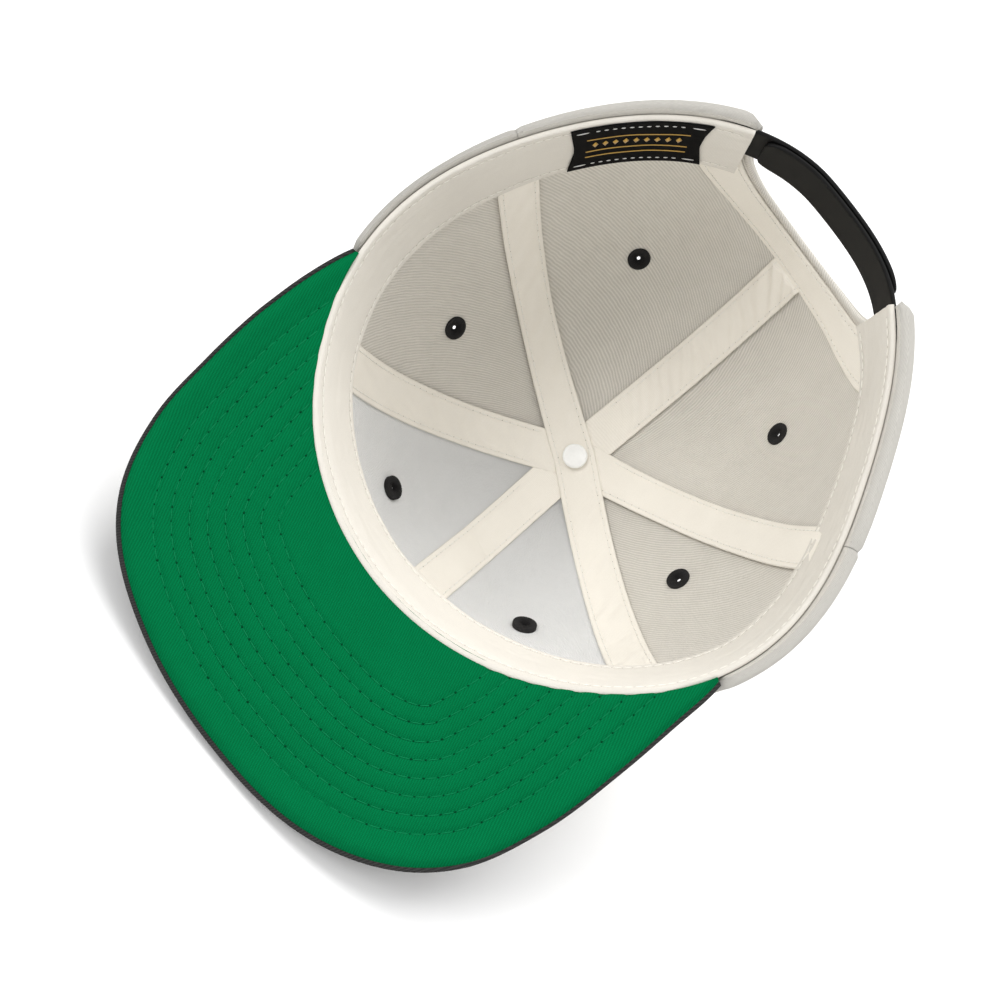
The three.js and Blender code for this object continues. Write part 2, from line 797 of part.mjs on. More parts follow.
const seams = panels.map((row) => row.from);
const [seamFront, seamFrontLeft, seamLeft, seamBack, seamRight, seamFrontRight] = seams;
const bindingEdge = archDepth + bindingInset + bindingWidth + clearance;
add('tape_cross', crossTapeGeometry(seamLeft, seamFrontRight), finishes.cotton);
add('tape_front_left', tapeGeometry(seamFrontLeft, [seamLeft], tapeStartDepth), finishes.cotton);
add('tape_front', tapeGeometry(seamFront, [seamFrontLeft, seamFrontRight], tapeStartDepth), finishes.cotton);
add('tape_side_right', tapeGeometry(seamRight, [seamFrontRight], tapeStartDepth), finishes.cotton);
add('tape_back', tapeGeometry(seamBack, [seamLeft, seamRight], bindingEdge), finishes.cotton);
add('arch_binding', bindingGeometry(), finishes.cotton);
add('sweatband', bandGeometry(), finishes.cotton);
add('label', labelGeometry(), finishes.label);

for (const row of eyelets) {
  const { place, direction } = eyeletSeat(row);
  const ring = add(row.name, eyeletGeometry(row), finishes.thread, upturned);
  ring.position.copy(place);
  ring.quaternion.setFromUnitVectors(new THREE.Vector3(0, 0, 1), direction);
}

const top = new THREE.Vector3(0, 0, -crownDepth);
for (const [name, geometry, material] of [
  ['button', buttonGeometry(), finishes.black],
  ['button_backing', backingGeometry(), finishes.metal],
]) {
  const piece = add(name, geometry, material, upturned);
  piece.position.copy(top);
  piece.rotation.x = PI;
}

add('peak_upper', peakUpper, finishes.black, upturned);
add('peak_under', peakUnderGeometry(), finishes.green, upturned);
add('strap_outer', strapOuterGeometry(), finishes.plastic);
add('strap_inner', strapInnerGeometry(), finishes.plastic);

// Centred over the origin, standing on z = 0
cap.updateMatrixWorld(true);
const box = new THREE.Box3().setFromObject(cap, true);
cap.position.set(-(box.min.x + box.max.x) / 2, -(box.min.y + box.max.y) / 2, 0);
cap.updateMatrixWorld(true);

export default cap;
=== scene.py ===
# A flat-brim cap that lies upturned on its crown and the tip of its peak.
# Shapes are worked out in millimetres in the cap's own upright frame: the rim is the plane z = 0, the crown
# hangs below it and the peak points to -y. place() then lays each point down in the frame, in metres.
# Angles go round the opening: 0 is the front, and positive is towards the wearer's left, which is -x.
import bpy
import bmesh
import numpy as np
from math import acos, asin, atan2, cos, degrees, exp, hypot, pi, radians, sin, sqrt
from mathutils import Matrix, Vector, kdtree, noise


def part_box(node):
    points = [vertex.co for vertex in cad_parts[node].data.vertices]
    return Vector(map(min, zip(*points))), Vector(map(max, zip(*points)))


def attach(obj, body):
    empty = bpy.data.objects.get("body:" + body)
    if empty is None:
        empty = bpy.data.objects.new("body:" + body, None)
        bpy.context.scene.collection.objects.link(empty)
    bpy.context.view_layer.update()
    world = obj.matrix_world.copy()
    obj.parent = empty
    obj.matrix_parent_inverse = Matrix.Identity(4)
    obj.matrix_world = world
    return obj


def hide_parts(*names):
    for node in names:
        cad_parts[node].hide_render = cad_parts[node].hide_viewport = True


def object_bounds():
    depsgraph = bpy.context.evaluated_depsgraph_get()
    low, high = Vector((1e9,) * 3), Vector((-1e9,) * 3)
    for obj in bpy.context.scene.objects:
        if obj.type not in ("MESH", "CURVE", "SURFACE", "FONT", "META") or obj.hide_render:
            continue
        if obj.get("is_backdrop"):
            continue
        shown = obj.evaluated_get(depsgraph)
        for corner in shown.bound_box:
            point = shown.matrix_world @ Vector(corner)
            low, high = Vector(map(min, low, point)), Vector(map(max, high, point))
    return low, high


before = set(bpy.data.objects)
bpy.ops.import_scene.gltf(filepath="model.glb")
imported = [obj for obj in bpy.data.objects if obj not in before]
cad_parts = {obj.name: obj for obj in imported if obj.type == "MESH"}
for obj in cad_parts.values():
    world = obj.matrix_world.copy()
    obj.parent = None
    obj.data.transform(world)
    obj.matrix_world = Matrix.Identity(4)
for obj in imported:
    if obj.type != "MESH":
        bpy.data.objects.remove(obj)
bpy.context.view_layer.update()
mm = 0.001
clear = 0.3  # gap between pieces that touch

# Crown surface: the line where the lining touches the cloth
crown = {
    "girth": 570, "depth": 109, "forward": 9.4, "aside": 5,
    "fullMean": 2.62, "fullFore": 0.57,  # 2 is an ellipse from rim to button, higher is boxier
    "waves": [(1, -0.082, 0.03), (2, 0.044, -0.025), (3, -0.041, 0.012), (4, 0.018, 0)],  # out of round
    "cloth": 1.4, "gap": 0.9, "press": 3, "buttonHole": 3,
    "softSize": 34, "softHeight": 0.9, "softFrom": 30,  # slow unevenness of the cloth, away from the rim
}
skin = crown["gap"] + crown["cloth"]


def smooth(t):
    s = min(1, max(0, t))
    return s * s * (3 - 2 * s)


def mix(a, b, t):
    return a + (b - a) * t


def bell(x, middle, width):
    return exp(-(((x - middle) / width) ** 2))


def rimReach(angle):
    share = 1
    for order, fore, left in crown["waves"]:
        share += fore * cos(order * angle) + left * sin(order * angle)
    return crown["girth"] / (2 * pi) * share


def fullness(angle):
    return crown["fullMean"] + crown["fullFore"] * cos(2 * angle)


def crownAt(angle, depth):
    share = min(1, max(0, depth / crown["depth"]))
    n = fullness(angle)
    reach = rimReach(angle) * (1 - share ** n) ** (1 / n)
    x = crown["aside"] * (1 - share) - reach * sin(angle)
    y = -crown["forward"] * (1 - share) - reach * cos(angle)
    return Vector((x, y, -depth))


def crownRadius(angle, depth):  # level distance from the middle of the top
    return hypot(*(crownAt(angle, depth) - crownAt(angle, crown["depth"])).xy)


def depthAlong(angle, startDepth, endShare, t):
    n = fullness(angle)
    start = asin((startDepth / crown["depth"]) ** (n / 2))
    end = acos(endShare ** (n / 2))
    return crown["depth"] * sin(start + (end - start) * t) ** (2 / n)


def crownLevel(x, y, z):
    share = min(1.2, max(0, -z / crown["depth"]))
    x -= crown["aside"] * (1 - share)
    y += crown["forward"] * (1 - share)
    angle = atan2(-x, -y)
    n = fullness(angle)
    return (hypot(x, y) / rimReach(angle)) ** n + share ** n - 1


def crownSlope(p, step=0.05):
    x, y, z = p
    return Vector((
        crownLevel(x + step, y, z) - crownLevel(x - step, y, z),
        crownLevel(x, y + step, z) - crownLevel(x, y - step, z),
        crownLevel(x, y, z + step) - crownLevel(x, y, z - step),
    )) / (2 * step)


def settle(p, turns=5):  # moves a point near the crown onto it
    p = p.copy()
    for _ in range(turns):
        slope = crownSlope(p)
        p -= slope * (crownLevel(*p) / slope.length_squared)
    return p


def softness(p):  # how far the cloth is out of its smooth shape here
    fade = smooth(-p.z / crown["softFrom"])
    return crown["softHeight"] * fade * noise.noise(p / crown["softSize"])


# Peak
peak = {
    "length": 68, "from": -71, "to": 74, "board": 2.4, "under": 1, "lip": 1.4,
    "lift": 5, "curl": 4, "curlReach": 20, "columns": 28,
    # how far it stands out from the rim at each angle, as shares of its length
    "outline": [
        (-71, 0.04), (-60, 0.17), (-50, 0.36), (-40, 0.625), (-32, 0.84), (-24, 0.965), (-14, 1.02), (0, 1),
        (14, 0.978), (24, 0.945), (31, 0.868), (39, 0.7), (47, 0.495), (57, 0.29), (65, 0.16), (74, 0.035),
    ],
}
peakTop = clear / 2
peakRecess = peakTop + peak["under"] + clear
peakBottom = peakRecess + peak["board"]


def reachAt(angle):
    a = degrees(angle)
    rows = peak["outline"]
    k = min(len(rows) - 2, max(0, sum(1 for row in rows if row[0] <= a) - 1))
    near = [rows[min(len(rows) - 1, max(0, i))] for i in (k - 1, k, k + 1, k + 2)]
    (a0, r0), (a1, r1), (a2, r2), (a3, r3) = near
    span = a2 - a1
    t = (a - a1) / span
    m1 = (r2 - r0) / (a2 - a0) * span
    m2 = (r3 - r1) / (a3 - a1) * span
    blend = (2 * t ** 3 - 3 * t ** 2 + 1) * r1 + (t ** 3 - 2 * t ** 2 + t) * m1
    blend += (3 * t ** 2 - 2 * t ** 3) * r2 + (t ** 3 - t ** 2) * m2
    return peak["length"] * blend


def peakAt(angle, out, down):  # out is measured from the rim, down from the upturned face
    reach = rimReach(angle) + clear + out
    lift = peak["lift"] * out / peak["length"]
    lift += peak["curl"] * sin(angle) ** 2 * min(1, max(0, out) / peak["curlReach"])
    return Vector((crown["aside"] - reach * sin(angle), -crown["forward"] - reach * cos(angle), lift - down))


def peakAngle(t):
    return radians(mix(peak["from"], peak["to"], t))


# How the cap lies: tipped forward until the peak's tip and the pressed shoulder of the crown both touch
def findRest():
    edge = []
    for i in range(peak["columns"] + 1):
        angle = peakAngle(i / peak["columns"])
        reach = reachAt(angle)
        curve = min(peak["lip"], reach / 2) / 2
        edge += [peakAt(angle, reach, peakBottom - curve), peakAt(angle, reach - curve, peakBottom)]
    shoulder = []
    for angle in range(-60, 61, 5):
        for share in range(50, 100):
            p = crownAt(radians(angle), crown["depth"] * share / 100)
            shoulder.append(p + crownSlope(p).normalized() * skin)
    low, high = 0, pi / 2
    for _ in range(40):
        tip = (low + high) / 2
        floor = min(p.y * sin(tip) + p.z * cos(tip) for p in edge)
        gap = min(p.y * sin(tip) + p.z * cos(tip) for p in shoulder) + crown["press"] - floor
        low, high = (tip, high) if gap < 0 else (low, tip)
    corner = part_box("peak_upper")[0] / mm
    aside = corner.x - min(p.x for p in edge)
    ahead = corner.y - min(p.y * cos(low) - p.z * sin(low) for p in edge)
    return low, Vector((aside, ahead, -floor))


restTip, restShift = findRest()
restTurn = Matrix.Rotation(restTip, 3, "X")


def place(p, offset=None):  # with an offset from the lining line, cloth is flattened where it rests
    q = restTurn @ p + restShift
    if offset is not None:
        q.z = max(q.z, skin - offset)
    return q * mm


def onCrown(p, offset):
    q = settle(p)
    offset += softness(q)
    return place(q + crownSlope(q).normalized() * offset, offset)


print("frame: tip", round(degrees(restTip), 2), "shift", [round(v, 2) for v in restShift])

# Camera
camera = {
    "eye": (53.3, -127.6, 420.8), "aim": (6.2, -52.1, 0), "turn": 138.9, "lens": 51.3, "sensor": 36,
}


def addCamera():
    eye = place(Vector(camera["eye"]))
    back = (eye - place(Vector(camera["aim"]))).normalized()
    turn = radians(camera["turn"])
    up = restTurn @ Vector((cos(turn), sin(turn), 0))
    right = up.cross(back).normalized()
    data = bpy.data.cameras.new("camera")
    data.lens = camera["lens"]
    data.sensor_width = camera["sensor"]
    data.clip_start = 0.01
    made = bpy.data.objects.new("camera", data)
    axes = Matrix((right, back.cross(right), back)).transposed()
    made.matrix_world = Matrix.Translation(eye) @ axes.to_4x4()
    bpy.context.scene.collection.objects.link(made)
    bpy.context.scene.camera = made


addCamera()


# Materials
def newMaterial(name, roughness=0.9, sheen=0.0, sheenRough=0.5, specular=0.3):
    material = bpy.data.materials.new(name)
    material.use_nodes = True
    shader = material.node_tree.nodes["Principled BSDF"]
    shader.inputs["Roughness"].default_value = roughness
    shader.inputs["Specular IOR Level"].default_value = specular
    shader.inputs["Sheen Weight"].default_value = sheen
    shader.inputs["Sheen Roughness"].default_value = sheenRough
    return material, material.node_tree, shader


def addNode(tree, kind, inputs=None, **settings):
    node = tree.nodes.new("ShaderNode" + kind)
    for key, value in settings.items():
        setattr(node, key, value)
    for key, value in (inputs or {}).items():
        if isinstance(value, bpy.types.NodeSocket):
            tree.links.new(value, node.inputs[key])
        else:
            node.inputs[key].default_value = value
    return node


def addMath(tree, first, second, operation="ADD"):
    return addNode(tree, "Math", {0: first, 1: second}, operation=operation).outputs[0]


def ramp(tree, factor, low, high, stops=(0.0, 1.0)):
    node = addNode(tree, "ValToRGB", {"Fac": factor})
    for element, position, color in zip(node.color_ramp.elements, stops, (low, high)):
        element.position = position
        element.color = (*color, 1)
    return node.outputs["Color"]


def clothMaterial(name, look):
    material, tree, shader = newMaterial(name, look["roughness"], look["sheen"], 0.5, look["shine"])
    uv = addNode(tree, "TexCoord").outputs["UV"]
    turn = (0, 0, radians(look["lean"]))
    turned = addNode(tree, "Mapping", {"Vector": uv, "Rotation": turn}).outputs["Vector"]
    coarse = 1 / (look["pitch"] * mm * 6)
    wobble = addNode(tree, "TexNoise", {"Vector": turned, "Scale": coarse, "Detail": 3.0})
    ribs = addNode(
        tree, "TexWave",
        {"Vector": turned, "Scale": pi / (10 * look["pitch"] * mm), "Distortion": look["wander"],
         "Detail": 1.0, "Detail Scale": 0.6},
        wave_type="BANDS", bands_direction="X", wave_profile="SIN",
    )
    across = addNode(
        tree, "TexWave",
        {"Vector": turned, "Scale": pi / (10 * look["yarn"] * mm), "Distortion": 1.0, "Detail": 1.0},
        wave_type="BANDS", bands_direction="Y", wave_profile="SIN",
    )
    fine, wide = 1 / (0.5 * mm), 1 / (22 * mm)
    grain = addNode(tree, "TexNoise", {"Vector": uv, "Scale": fine, "Detail": 4.0, "Roughness": 0.7})
    cloud = addNode(tree, "TexNoise", {"Vector": uv, "Scale": wide, "Detail": 3.0})
    parts = [(ribs, look["ribShow"]), (across, look["yarnShow"]), (grain, look["grainShow"]),
             (cloud, look["cloudShow"]), (wobble, look["ribShow"] * 0.4)]
    total = None
    for source, weight in parts:
        scaled = addMath(tree, source.outputs["Fac"], weight, "MULTIPLY")
        total = scaled if total is None else addMath(tree, total, scaled)
    level = addMath(tree, total, sum(weight for _, weight in parts), "DIVIDE")
    color = ramp(tree, level, look["dark"], look["light"], (0.25, 0.7))
    tree.links.new(color, shader.inputs["Base Color"])
    height = addMath(tree, ribs.outputs["Fac"], grain.outputs["Fac"])
    height = addMath(tree, height, across.outputs["Fac"])
    bump = addNode(tree, "Bump", {"Height": height, "Distance": look["bump"] * mm, "Strength": 1.0})
    tree.links.new(bump.outputs["Normal"], shader.inputs["Normal"])
    return material


twillLook = {
    "light": (0.79, 0.755, 0.69), "dark": (0.58, 0.55, 0.49),
    "pitch": 1.0, "lean": 45, "wander": 2.5, "yarn": 0.5,
    "ribShow": 0.55, "yarnShow": 0.15, "grainShow": 0.5, "cloudShow": 0.15, "bump": 0.1,
    "roughness": 0.95, "sheen": 0.1, "shine": 0.2,
}
cottonLook = {
    "light": (0.95, 0.905, 0.82), "dark": (0.83, 0.785, 0.70),
    "pitch": 0.4, "lean": 0, "wander": 1.5, "yarn": 0.4,
    "ribShow": 0.15, "yarnShow": 0.15, "grainShow": 0.35, "cloudShow": 0.35, "bump": 0.03,
    "roughness": 0.9, "sheen": 0.1, "shine": 0.25,
}
buckramLook = {
    "light": (0.97, 0.97, 0.96), "dark": (0.78, 0.785, 0.78),
    "pitch": 0.6, "lean": 8, "wander": 4.0, "yarn": 0.6,
    "ribShow": 0.2, "yarnShow": 0.2, "grainShow": 0.6, "cloudShow": 0.2, "bump": 0.12,
    "roughness": 0.95, "sheen": 0.05, "shine": 0.2,
}
greenLook = {
    "light": (0.0, 0.16, 0.052), "dark": (0.0, 0.105, 0.031),
    "pitch": 0.8, "lean": -25, "wander": 1.5, "yarn": 0.45,
    "ribShow": 0.5, "yarnShow": 0.15, "grainShow": 0.4, "cloudShow": 0.2, "bump": 0.06,
    "roughness": 0.95, "sheen": 0.0, "shine": 0.04,
}
blackLook = {
    "light": (0.035, 0.034, 0.033), "dark": (0.012, 0.012, 0.012),
    "pitch": 0.8, "lean": 25, "wander": 1.5, "yarn": 0.45,
    "ribShow": 0.6, "yarnShow": 0.15, "grainShow": 0.4, "cloudShow": 0.1, "bump": 0.06,
    "roughness": 0.9, "sheen": 0.1, "shine": 0.2,
}
labelLook = {
    "light": (0.007, 0.007, 0.007), "dark": (0.003, 0.003, 0.003),
    "pitch": 0.35, "lean": 90, "wander": 0.4, "yarn": 0.5,
    "ribShow": 0.6, "yarnShow": 0.3, "grainShow": 0.2, "cloudShow": 0.05, "bump": 0.03,
    "roughness": 0.75, "sheen": 0.0, "shine": 0.06,
}
# The hem's twill has real coarser ribs and a lighter colour than the panels' twill; the lightness is painted
# light on the rolled rim.
hemLitLook = {
    **twillLook, "light": (0.97, 0.94, 0.87), "dark": (0.80, 0.77, 0.70),
    "pitch": 1.15, "lean": 62, "wander": 1.0, "ribShow": 1.0, "bump": 0.3,
}
# The band's cotton is a darker copy of the cream cotton of the tapes: painted shade on the band.
bandShadedLook = {**cottonLook, "light": (0.76, 0.725, 0.655), "dark": (0.65, 0.615, 0.555)}
twill = clothMaterial("cream twill", twillLook)
hemLitTwill = clothMaterial("cream twill ribs over the hem with painted light", hemLitLook)
bandShadedCotton = clothMaterial("cream cotton of the band with painted shade", bandShadedLook)
cotton = clothMaterial("cream cotton", cottonLook)
buckram = clothMaterial("pale buckram", buckramLook)
greenTwill = clothMaterial("green twill", greenLook)
blackTwill = clothMaterial("black twill", blackLook)
labelWeave = clothMaterial("black label weave", labelLook)


def plainMaterial(name, color, roughness, grain, bump, spread=0.1, sheen=0.0, specular=0.5):
    material, tree, shader = newMaterial(name, roughness, sheen, 0.5, specular)
    where = addNode(tree, "TexCoord").outputs["Object"]
    scale = 1 / (grain * mm)
    speck = addNode(tree, "TexNoise", {"Vector": where, "Scale": scale, "Detail": 4.0}).outputs["Fac"]
    darker = tuple(c * (1 - spread) for c in color)
    tree.links.new(ramp(tree, speck, darker, color, (0.3, 0.7)), shader.inputs["Base Color"])
    relief = addNode(tree, "Bump", {"Height": speck, "Distance": bump * mm, "Strength": 1.0})
    tree.links.new(relief.outputs["Normal"], shader.inputs["Normal"])
    return material


creamThread = plainMaterial("cream thread", (0.93, 0.90, 0.83), 0.7, 0.25, 0.04, sheen=0.2)
# Dark dots between the cream stitches, painted shade in the needle holes
clothHoleShade = plainMaterial("shade between stitches", (0.46, 0.43, 0.375), 0.95, 0.3, 0.01, specular=0.05)
greenThread = plainMaterial("green thread", (0.0, 0.19, 0.066), 0.7, 0.25, 0.04, specular=0.1)
blackThread = plainMaterial("black thread", (0.02, 0.019, 0.019), 0.7, 0.25, 0.05, specular=0.2)
whiteThread = plainMaterial("white thread", (0.78, 0.77, 0.74), 0.7, 0.25, 0.03, sheen=0.2)
goldThread = plainMaterial("gold thread", (0.62, 0.36, 0.05), 0.5, 0.3, 0.04, sheen=0.2)
# Dark dots between the peak's green stitches, painted shade in the needle holes
needleHoleShade = plainMaterial("shade in a needle hole", (0.0, 0.05, 0.016), 0.95, 0.3, 0.01, specular=0.05)
strapPlastic = plainMaterial(
    "black strap plastic", (0.006, 0.006, 0.006), 0.55, 0.35, 0.008, spread=0.2, specular=0.14,
)
discMetal = plainMaterial("pale painted disc", (0.97, 0.97, 0.95), 0.35, 1.2, 0.006, spread=0.04)
print("materials ready")


# Shapes
def gridSheet(columns, rows, pointAt, uvAt):
    bm = bmesh.new()
    uvLayer = bm.loops.layers.uv.new("UVMap")
    bmesh.ops.create_grid(bm, x_segments=columns, y_segments=rows, size=1)
    for face in bm.faces:
        for loop in face.loops:
            x, y, _ = loop.vert.co
            loop[uvLayer].uv = uvAt((x + 1) / 2, (y + 1) / 2)
    for vert in bm.verts:
        x, y, _ = vert.co
        vert.co = pointAt((x + 1) / 2, (y + 1) / 2)
    return bm


def closeShell(bm):
    bmesh.ops.remove_doubles(bm, verts=bm.verts, dist=1e-6)
    bmesh.ops.holes_fill(bm, edges=[edge for edge in bm.edges if edge.is_boundary], sides=0)
    bmesh.ops.recalc_face_normals(bm, faces=bm.faces)
    if bm.calc_volume(signed=True) < 0:
        bmesh.ops.reverse_faces(bm, faces=bm.faces)
    return bm


def addPiece(name, bm, material, nodes=(), crease=50):
    data = bpy.data.meshes.new(name)
    bm.to_mesh(data)
    bm.free()
    return addData(name, data, material, nodes, crease)


def addData(name, data, material, nodes=(), crease=50):
    data.materials.append(material)
    data.shade_smooth()
    data.set_sharp_from_angle(angle=radians(crease))
    piece = bpy.data.objects.new(name, data)
    bpy.context.scene.collection.objects.link(piece)
    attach(piece, "root")
    if nodes:
        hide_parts(*nodes)
    return piece


# A strip's section runs round its width and back: gives how far aside, and how high above its lower face
def stripSection(v, width, thick, share=0.12):  # share is the part of the rows that each rounded edge takes
    half, curve = width / 2, thick / 2
    flat = 0.5 - share
    if v < flat:
        return mix(-half + curve, half - curve, v / flat), 0
    if v < 0.5:
        turn = pi * (v - flat) / share
        return half - curve + curve * sin(turn), curve - curve * cos(turn)
    if v < 0.5 + flat:
        return mix(half - curve, -half + curve, (v - 0.5) / flat), thick
    turn = pi * (v - 0.5 - flat) / share
    return -half + curve - curve * sin(turn), curve + curve * cos(turn)


def strip(columns, rows, length, width, thick, pointAt):  # pointAt(t, aside, lift)
    def at(u, v):
        aside, lift = stripSection(v, width, thick)
        return pointAt(u, aside, lift)

    around = 2 * (width + thick)
    return closeShell(gridSheet(columns, rows, at, lambda u, v: (u * length * mm, v * around * mm)))


# Sewing: a row is a list of (point, normal), placed
def stitchPlace(low, high):  # high is straight above low
    return low, (high - low).normalized()


# A list given for the needle holes gets the places of small dark dots between the stitches: painted shade in
# the holes.
def sew(stitches, line, stitch, gap, width, lift=0.1, holeShades=None, holeShadeSize=0.3):
    reached = [0]
    for (a, _), (b, _) in zip(line, line[1:]):
        reached.append(reached[-1] + (b - a).length)
    pitch = (stitch + gap) * mm
    count = int(reached[-1] / pitch)
    spare = (reached[-1] - count * pitch) / 2

    def along(d):
        lowest, highest = 0, len(reached) - 1
        while highest - lowest > 1:
            k = (lowest + highest) // 2
            lowest, highest = (k, highest) if reached[k] <= d else (lowest, k)
        share = (d - reached[lowest]) / max(1e-9, reached[highest] - reached[lowest])
        return line[lowest][0].lerp(line[highest][0], share), line[lowest][1].lerp(line[highest][1], share)

    for i in range(count):
        middle = spare + (i + 0.5) * pitch
        half = stitch * mm / 2
        (a, _), (b, _), (p, normal) = along(middle - half), along(middle + half), along(middle)
        tangent = (b - a).normalized()
        side = normal.cross(tangent).normalized()
        up = tangent.cross(side)
        p = (a + b) / 2 * 0.5 + p * 0.5 + up * lift * mm
        p.z = max(p.z, width * mm / 2)  # no stitch goes into the floor
        axes = Matrix((side * width * mm / 2, up * width * mm * 0.4, tangent * half)).transposed()
        stitches.append(Matrix.Translation(p) @ axes.to_4x4())
        # a small dark dot where the needle went in, painted shade in the hole
        if holeShades is not None:
            at, normal = along(spare + i * pitch)
            size = holeShadeSize * (1 + 0.5 * noise.noise(at / mm / 2))
            holeShades.append(Matrix.Translation(at) @ Matrix.Scale(size * mm, 4))


def addThread(name, places, material, sides=6, rings=5):  # one small bead shape, joined at every place
    bm = bmesh.new()
    bmesh.ops.create_uvsphere(bm, u_segments=sides, v_segments=rings, radius=1)
    bead = bpy.data.meshes.new("bead")
    bm.to_mesh(bead)
    bm.free()
    points = np.empty(3 * len(bead.vertices))
    bead.vertices.foreach_get("co", points)
    points = np.c_[points.reshape(-1, 3), np.ones(len(bead.vertices))]
    corners = np.empty(len(bead.loops), dtype=int)
    bead.loops.foreach_get("vertex_index", corners)
    starts = np.empty(len(bead.polygons), dtype=int)
    bead.polygons.foreach_get("loop_start", starts)
    count = np.arange(len(places))[:, None]
    moved = np.einsum("nij,vj->nvi", np.array(places), points)[:, :, :3]
    data = bpy.data.meshes.new(name)
    data.vertices.add(moved.size // 3)
    data.loops.add(len(places) * len(corners))
    data.polygons.add(len(places) * len(starts))
    data.vertices.foreach_set("co", moved.ravel())
    data.loops.foreach_set("vertex_index", (corners + count * len(points)).ravel())
    data.polygons.foreach_set("loop_start", (starts + count * len(corners)).ravel())
    data.update(calc_edges=True)
    bpy.data.meshes.remove(bead)
    return addData(name, data, material, crease=180)


# Crown panels
panelSet = {
    "rows": [("front_left", -2, 56), ("side_left", 56, 115), ("back_left", 115, 181),
             ("back_right", 181, 251), ("side_right", 251, 301), ("front_right", 301, 358)],
    "columns": 58, "wallRows": 56, "rollRows": 10, "seamWidth": 1.2, "seamDip": 0.14, "seamEdge": 0.12,
    "seamGap": 0.04, "hemShare": 0.26, "fullShare": 0.66,
    # how much fuller than its solid the hem is at each angle, in degrees and millimetres
    "hemFuller": [(0, 0), (75, -0.8), (100, -0.6), (125, 0.6), (150, 1.4), (180, 2.2), (215, 2.4),
                  (245, 2.2), (275, 1.4), (300, 0.2), (360, 0)],
    "hemExtra": 1.8, "hemHeight": 13, "rimRamp": 2,
    "hemOutside": 0.045, "tabThin": 0.35, "tabLength": 5, "tabRound": 3,
    "pocketLength": 8, "pocketFade": 3, "pocketRamp": 5,
    "topstitch": 3.2, "stitch": 2.9, "stitchGap": 0.5, "thread": 0.45, "rimRow": 3.2,
    "depthPower": 1.3, "hemSpread": 0.5, "seamSteps": 160, "rimSteps": 300, "seamTop": 0.995, "seamLow": 5,
    "archClear": 4, "rowInset": 0.03,
}
arch = {
    "width": 72, "depth": 52, "straight": 15, "steps": 72, "cutAbove": 30, "cutReach": 200,
    "bead": 1.15, "beadOut": 0.2, "beadLift": 0.5, "beadStart": 0.025, "beadColumns": 260, "beadRows": 16,
}
strap = {
    "width": 20, "thick": 1.4, "top": 1, "endGap": 4, "studs": 6, "pitch": 11, "hole": 4.8, "neck": 4.2,
    "head": 5.8, "headThick": 1, "columns": 140, "rows": 50, "stepStart": 0.12, "stepShare": 0.34,
    "corner": 7, "endShare": 0.65, "length": 110, "neckUnder": 0.5, "headRound": 0.25, "headDome": 0.15,
    "flatter": 3.0,  # how much less the fastened strap bulges than the crown would
}
archAngle = asin(arch["width"] / 2 / rimReach(pi))
pocketAngle = archAngle + panelSet["pocketLength"] / rimReach(pi)


def pocket(angle, depth):  # 1 where the hem opens for a strap's end
    fromBack = abs(pi - angle % (2 * pi))
    across = 1 - smooth((fromBack - pocketAngle) / radians(panelSet["pocketFade"]))
    across *= smooth(depth / strap["top"])
    return across * (1 - smooth((depth - strap["top"] - strap["width"] - clear) / panelSet["pocketRamp"]))


def pastArch(angle):  # distance along the rim from the arch's edge
    return (abs(pi - angle % (2 * pi)) - archAngle) * rimReach(pi)


def rimDrop(angle):  # the front of the rim is lower, because the peak is sewn over it
    a = atan2(sin(angle), cos(angle))
    inside = min(a - radians(peak["from"]), radians(peak["to"]) - a)
    past = pastArch(angle)
    corner = panelSet["tabRound"]
    short = min(corner, max(0, corner - past))
    drop = corner - sqrt(corner ** 2 - short ** 2) if past > -corner else 0
    return drop + (peakBottom + clear) * smooth(inside / radians(panelSet["rimRamp"]) + 1)


def innerOffset(angle, depth):
    return crown["gap"] + pocket(angle, depth) * (strap["thick"] + clear)


def outerOffset(angle, depth):
    angles, fuller = zip(*panelSet["hemFuller"])
    hem = panelSet["hemExtra"] + float(np.interp(degrees(angle) % 360, angles, fuller))
    hem *= 1 - smooth(depth / (2 * panelSet["hemHeight"]))
    hem *= mix(panelSet["tabThin"], 1, smooth(pastArch(angle) / panelSet["tabLength"]))
    return max(skin + hem, innerOffset(angle, depth) + crown["cloth"])


def panelDepth(angle, t):  # t is 0 at the rim and 1 at the hole under the button
    hem = 2 * panelSet["hemHeight"]
    share = panelSet["hemShare"]
    if t < share:
        depth = hem * (t / share) ** panelSet["depthPower"]
        return depth + rimDrop(angle) * (1 - depth / hem)
    end = crown["buttonHole"] / rimReach(angle)
    return depthAlong(angle, hem, end, (t - share) / (1 - share))


def panelPoint(angle, t, outer, rise, fade):  # outer goes from 0 inside to 1 outside, fade to 0 in a seam
    depth = panelDepth(angle, t)
    p = crownAt(angle, depth)
    free = depth - rimDrop(angle)
    inner, outside = innerOffset(angle, free), outerOffset(angle, free)
    offset = mix(inner, mix(inner, outside, fade), outer) + softness(p)
    q = p + crownSlope(p).normalized() * offset
    q.z += rise * fade * (outside - inner) / 2
    return place(q, offset - softness(p))


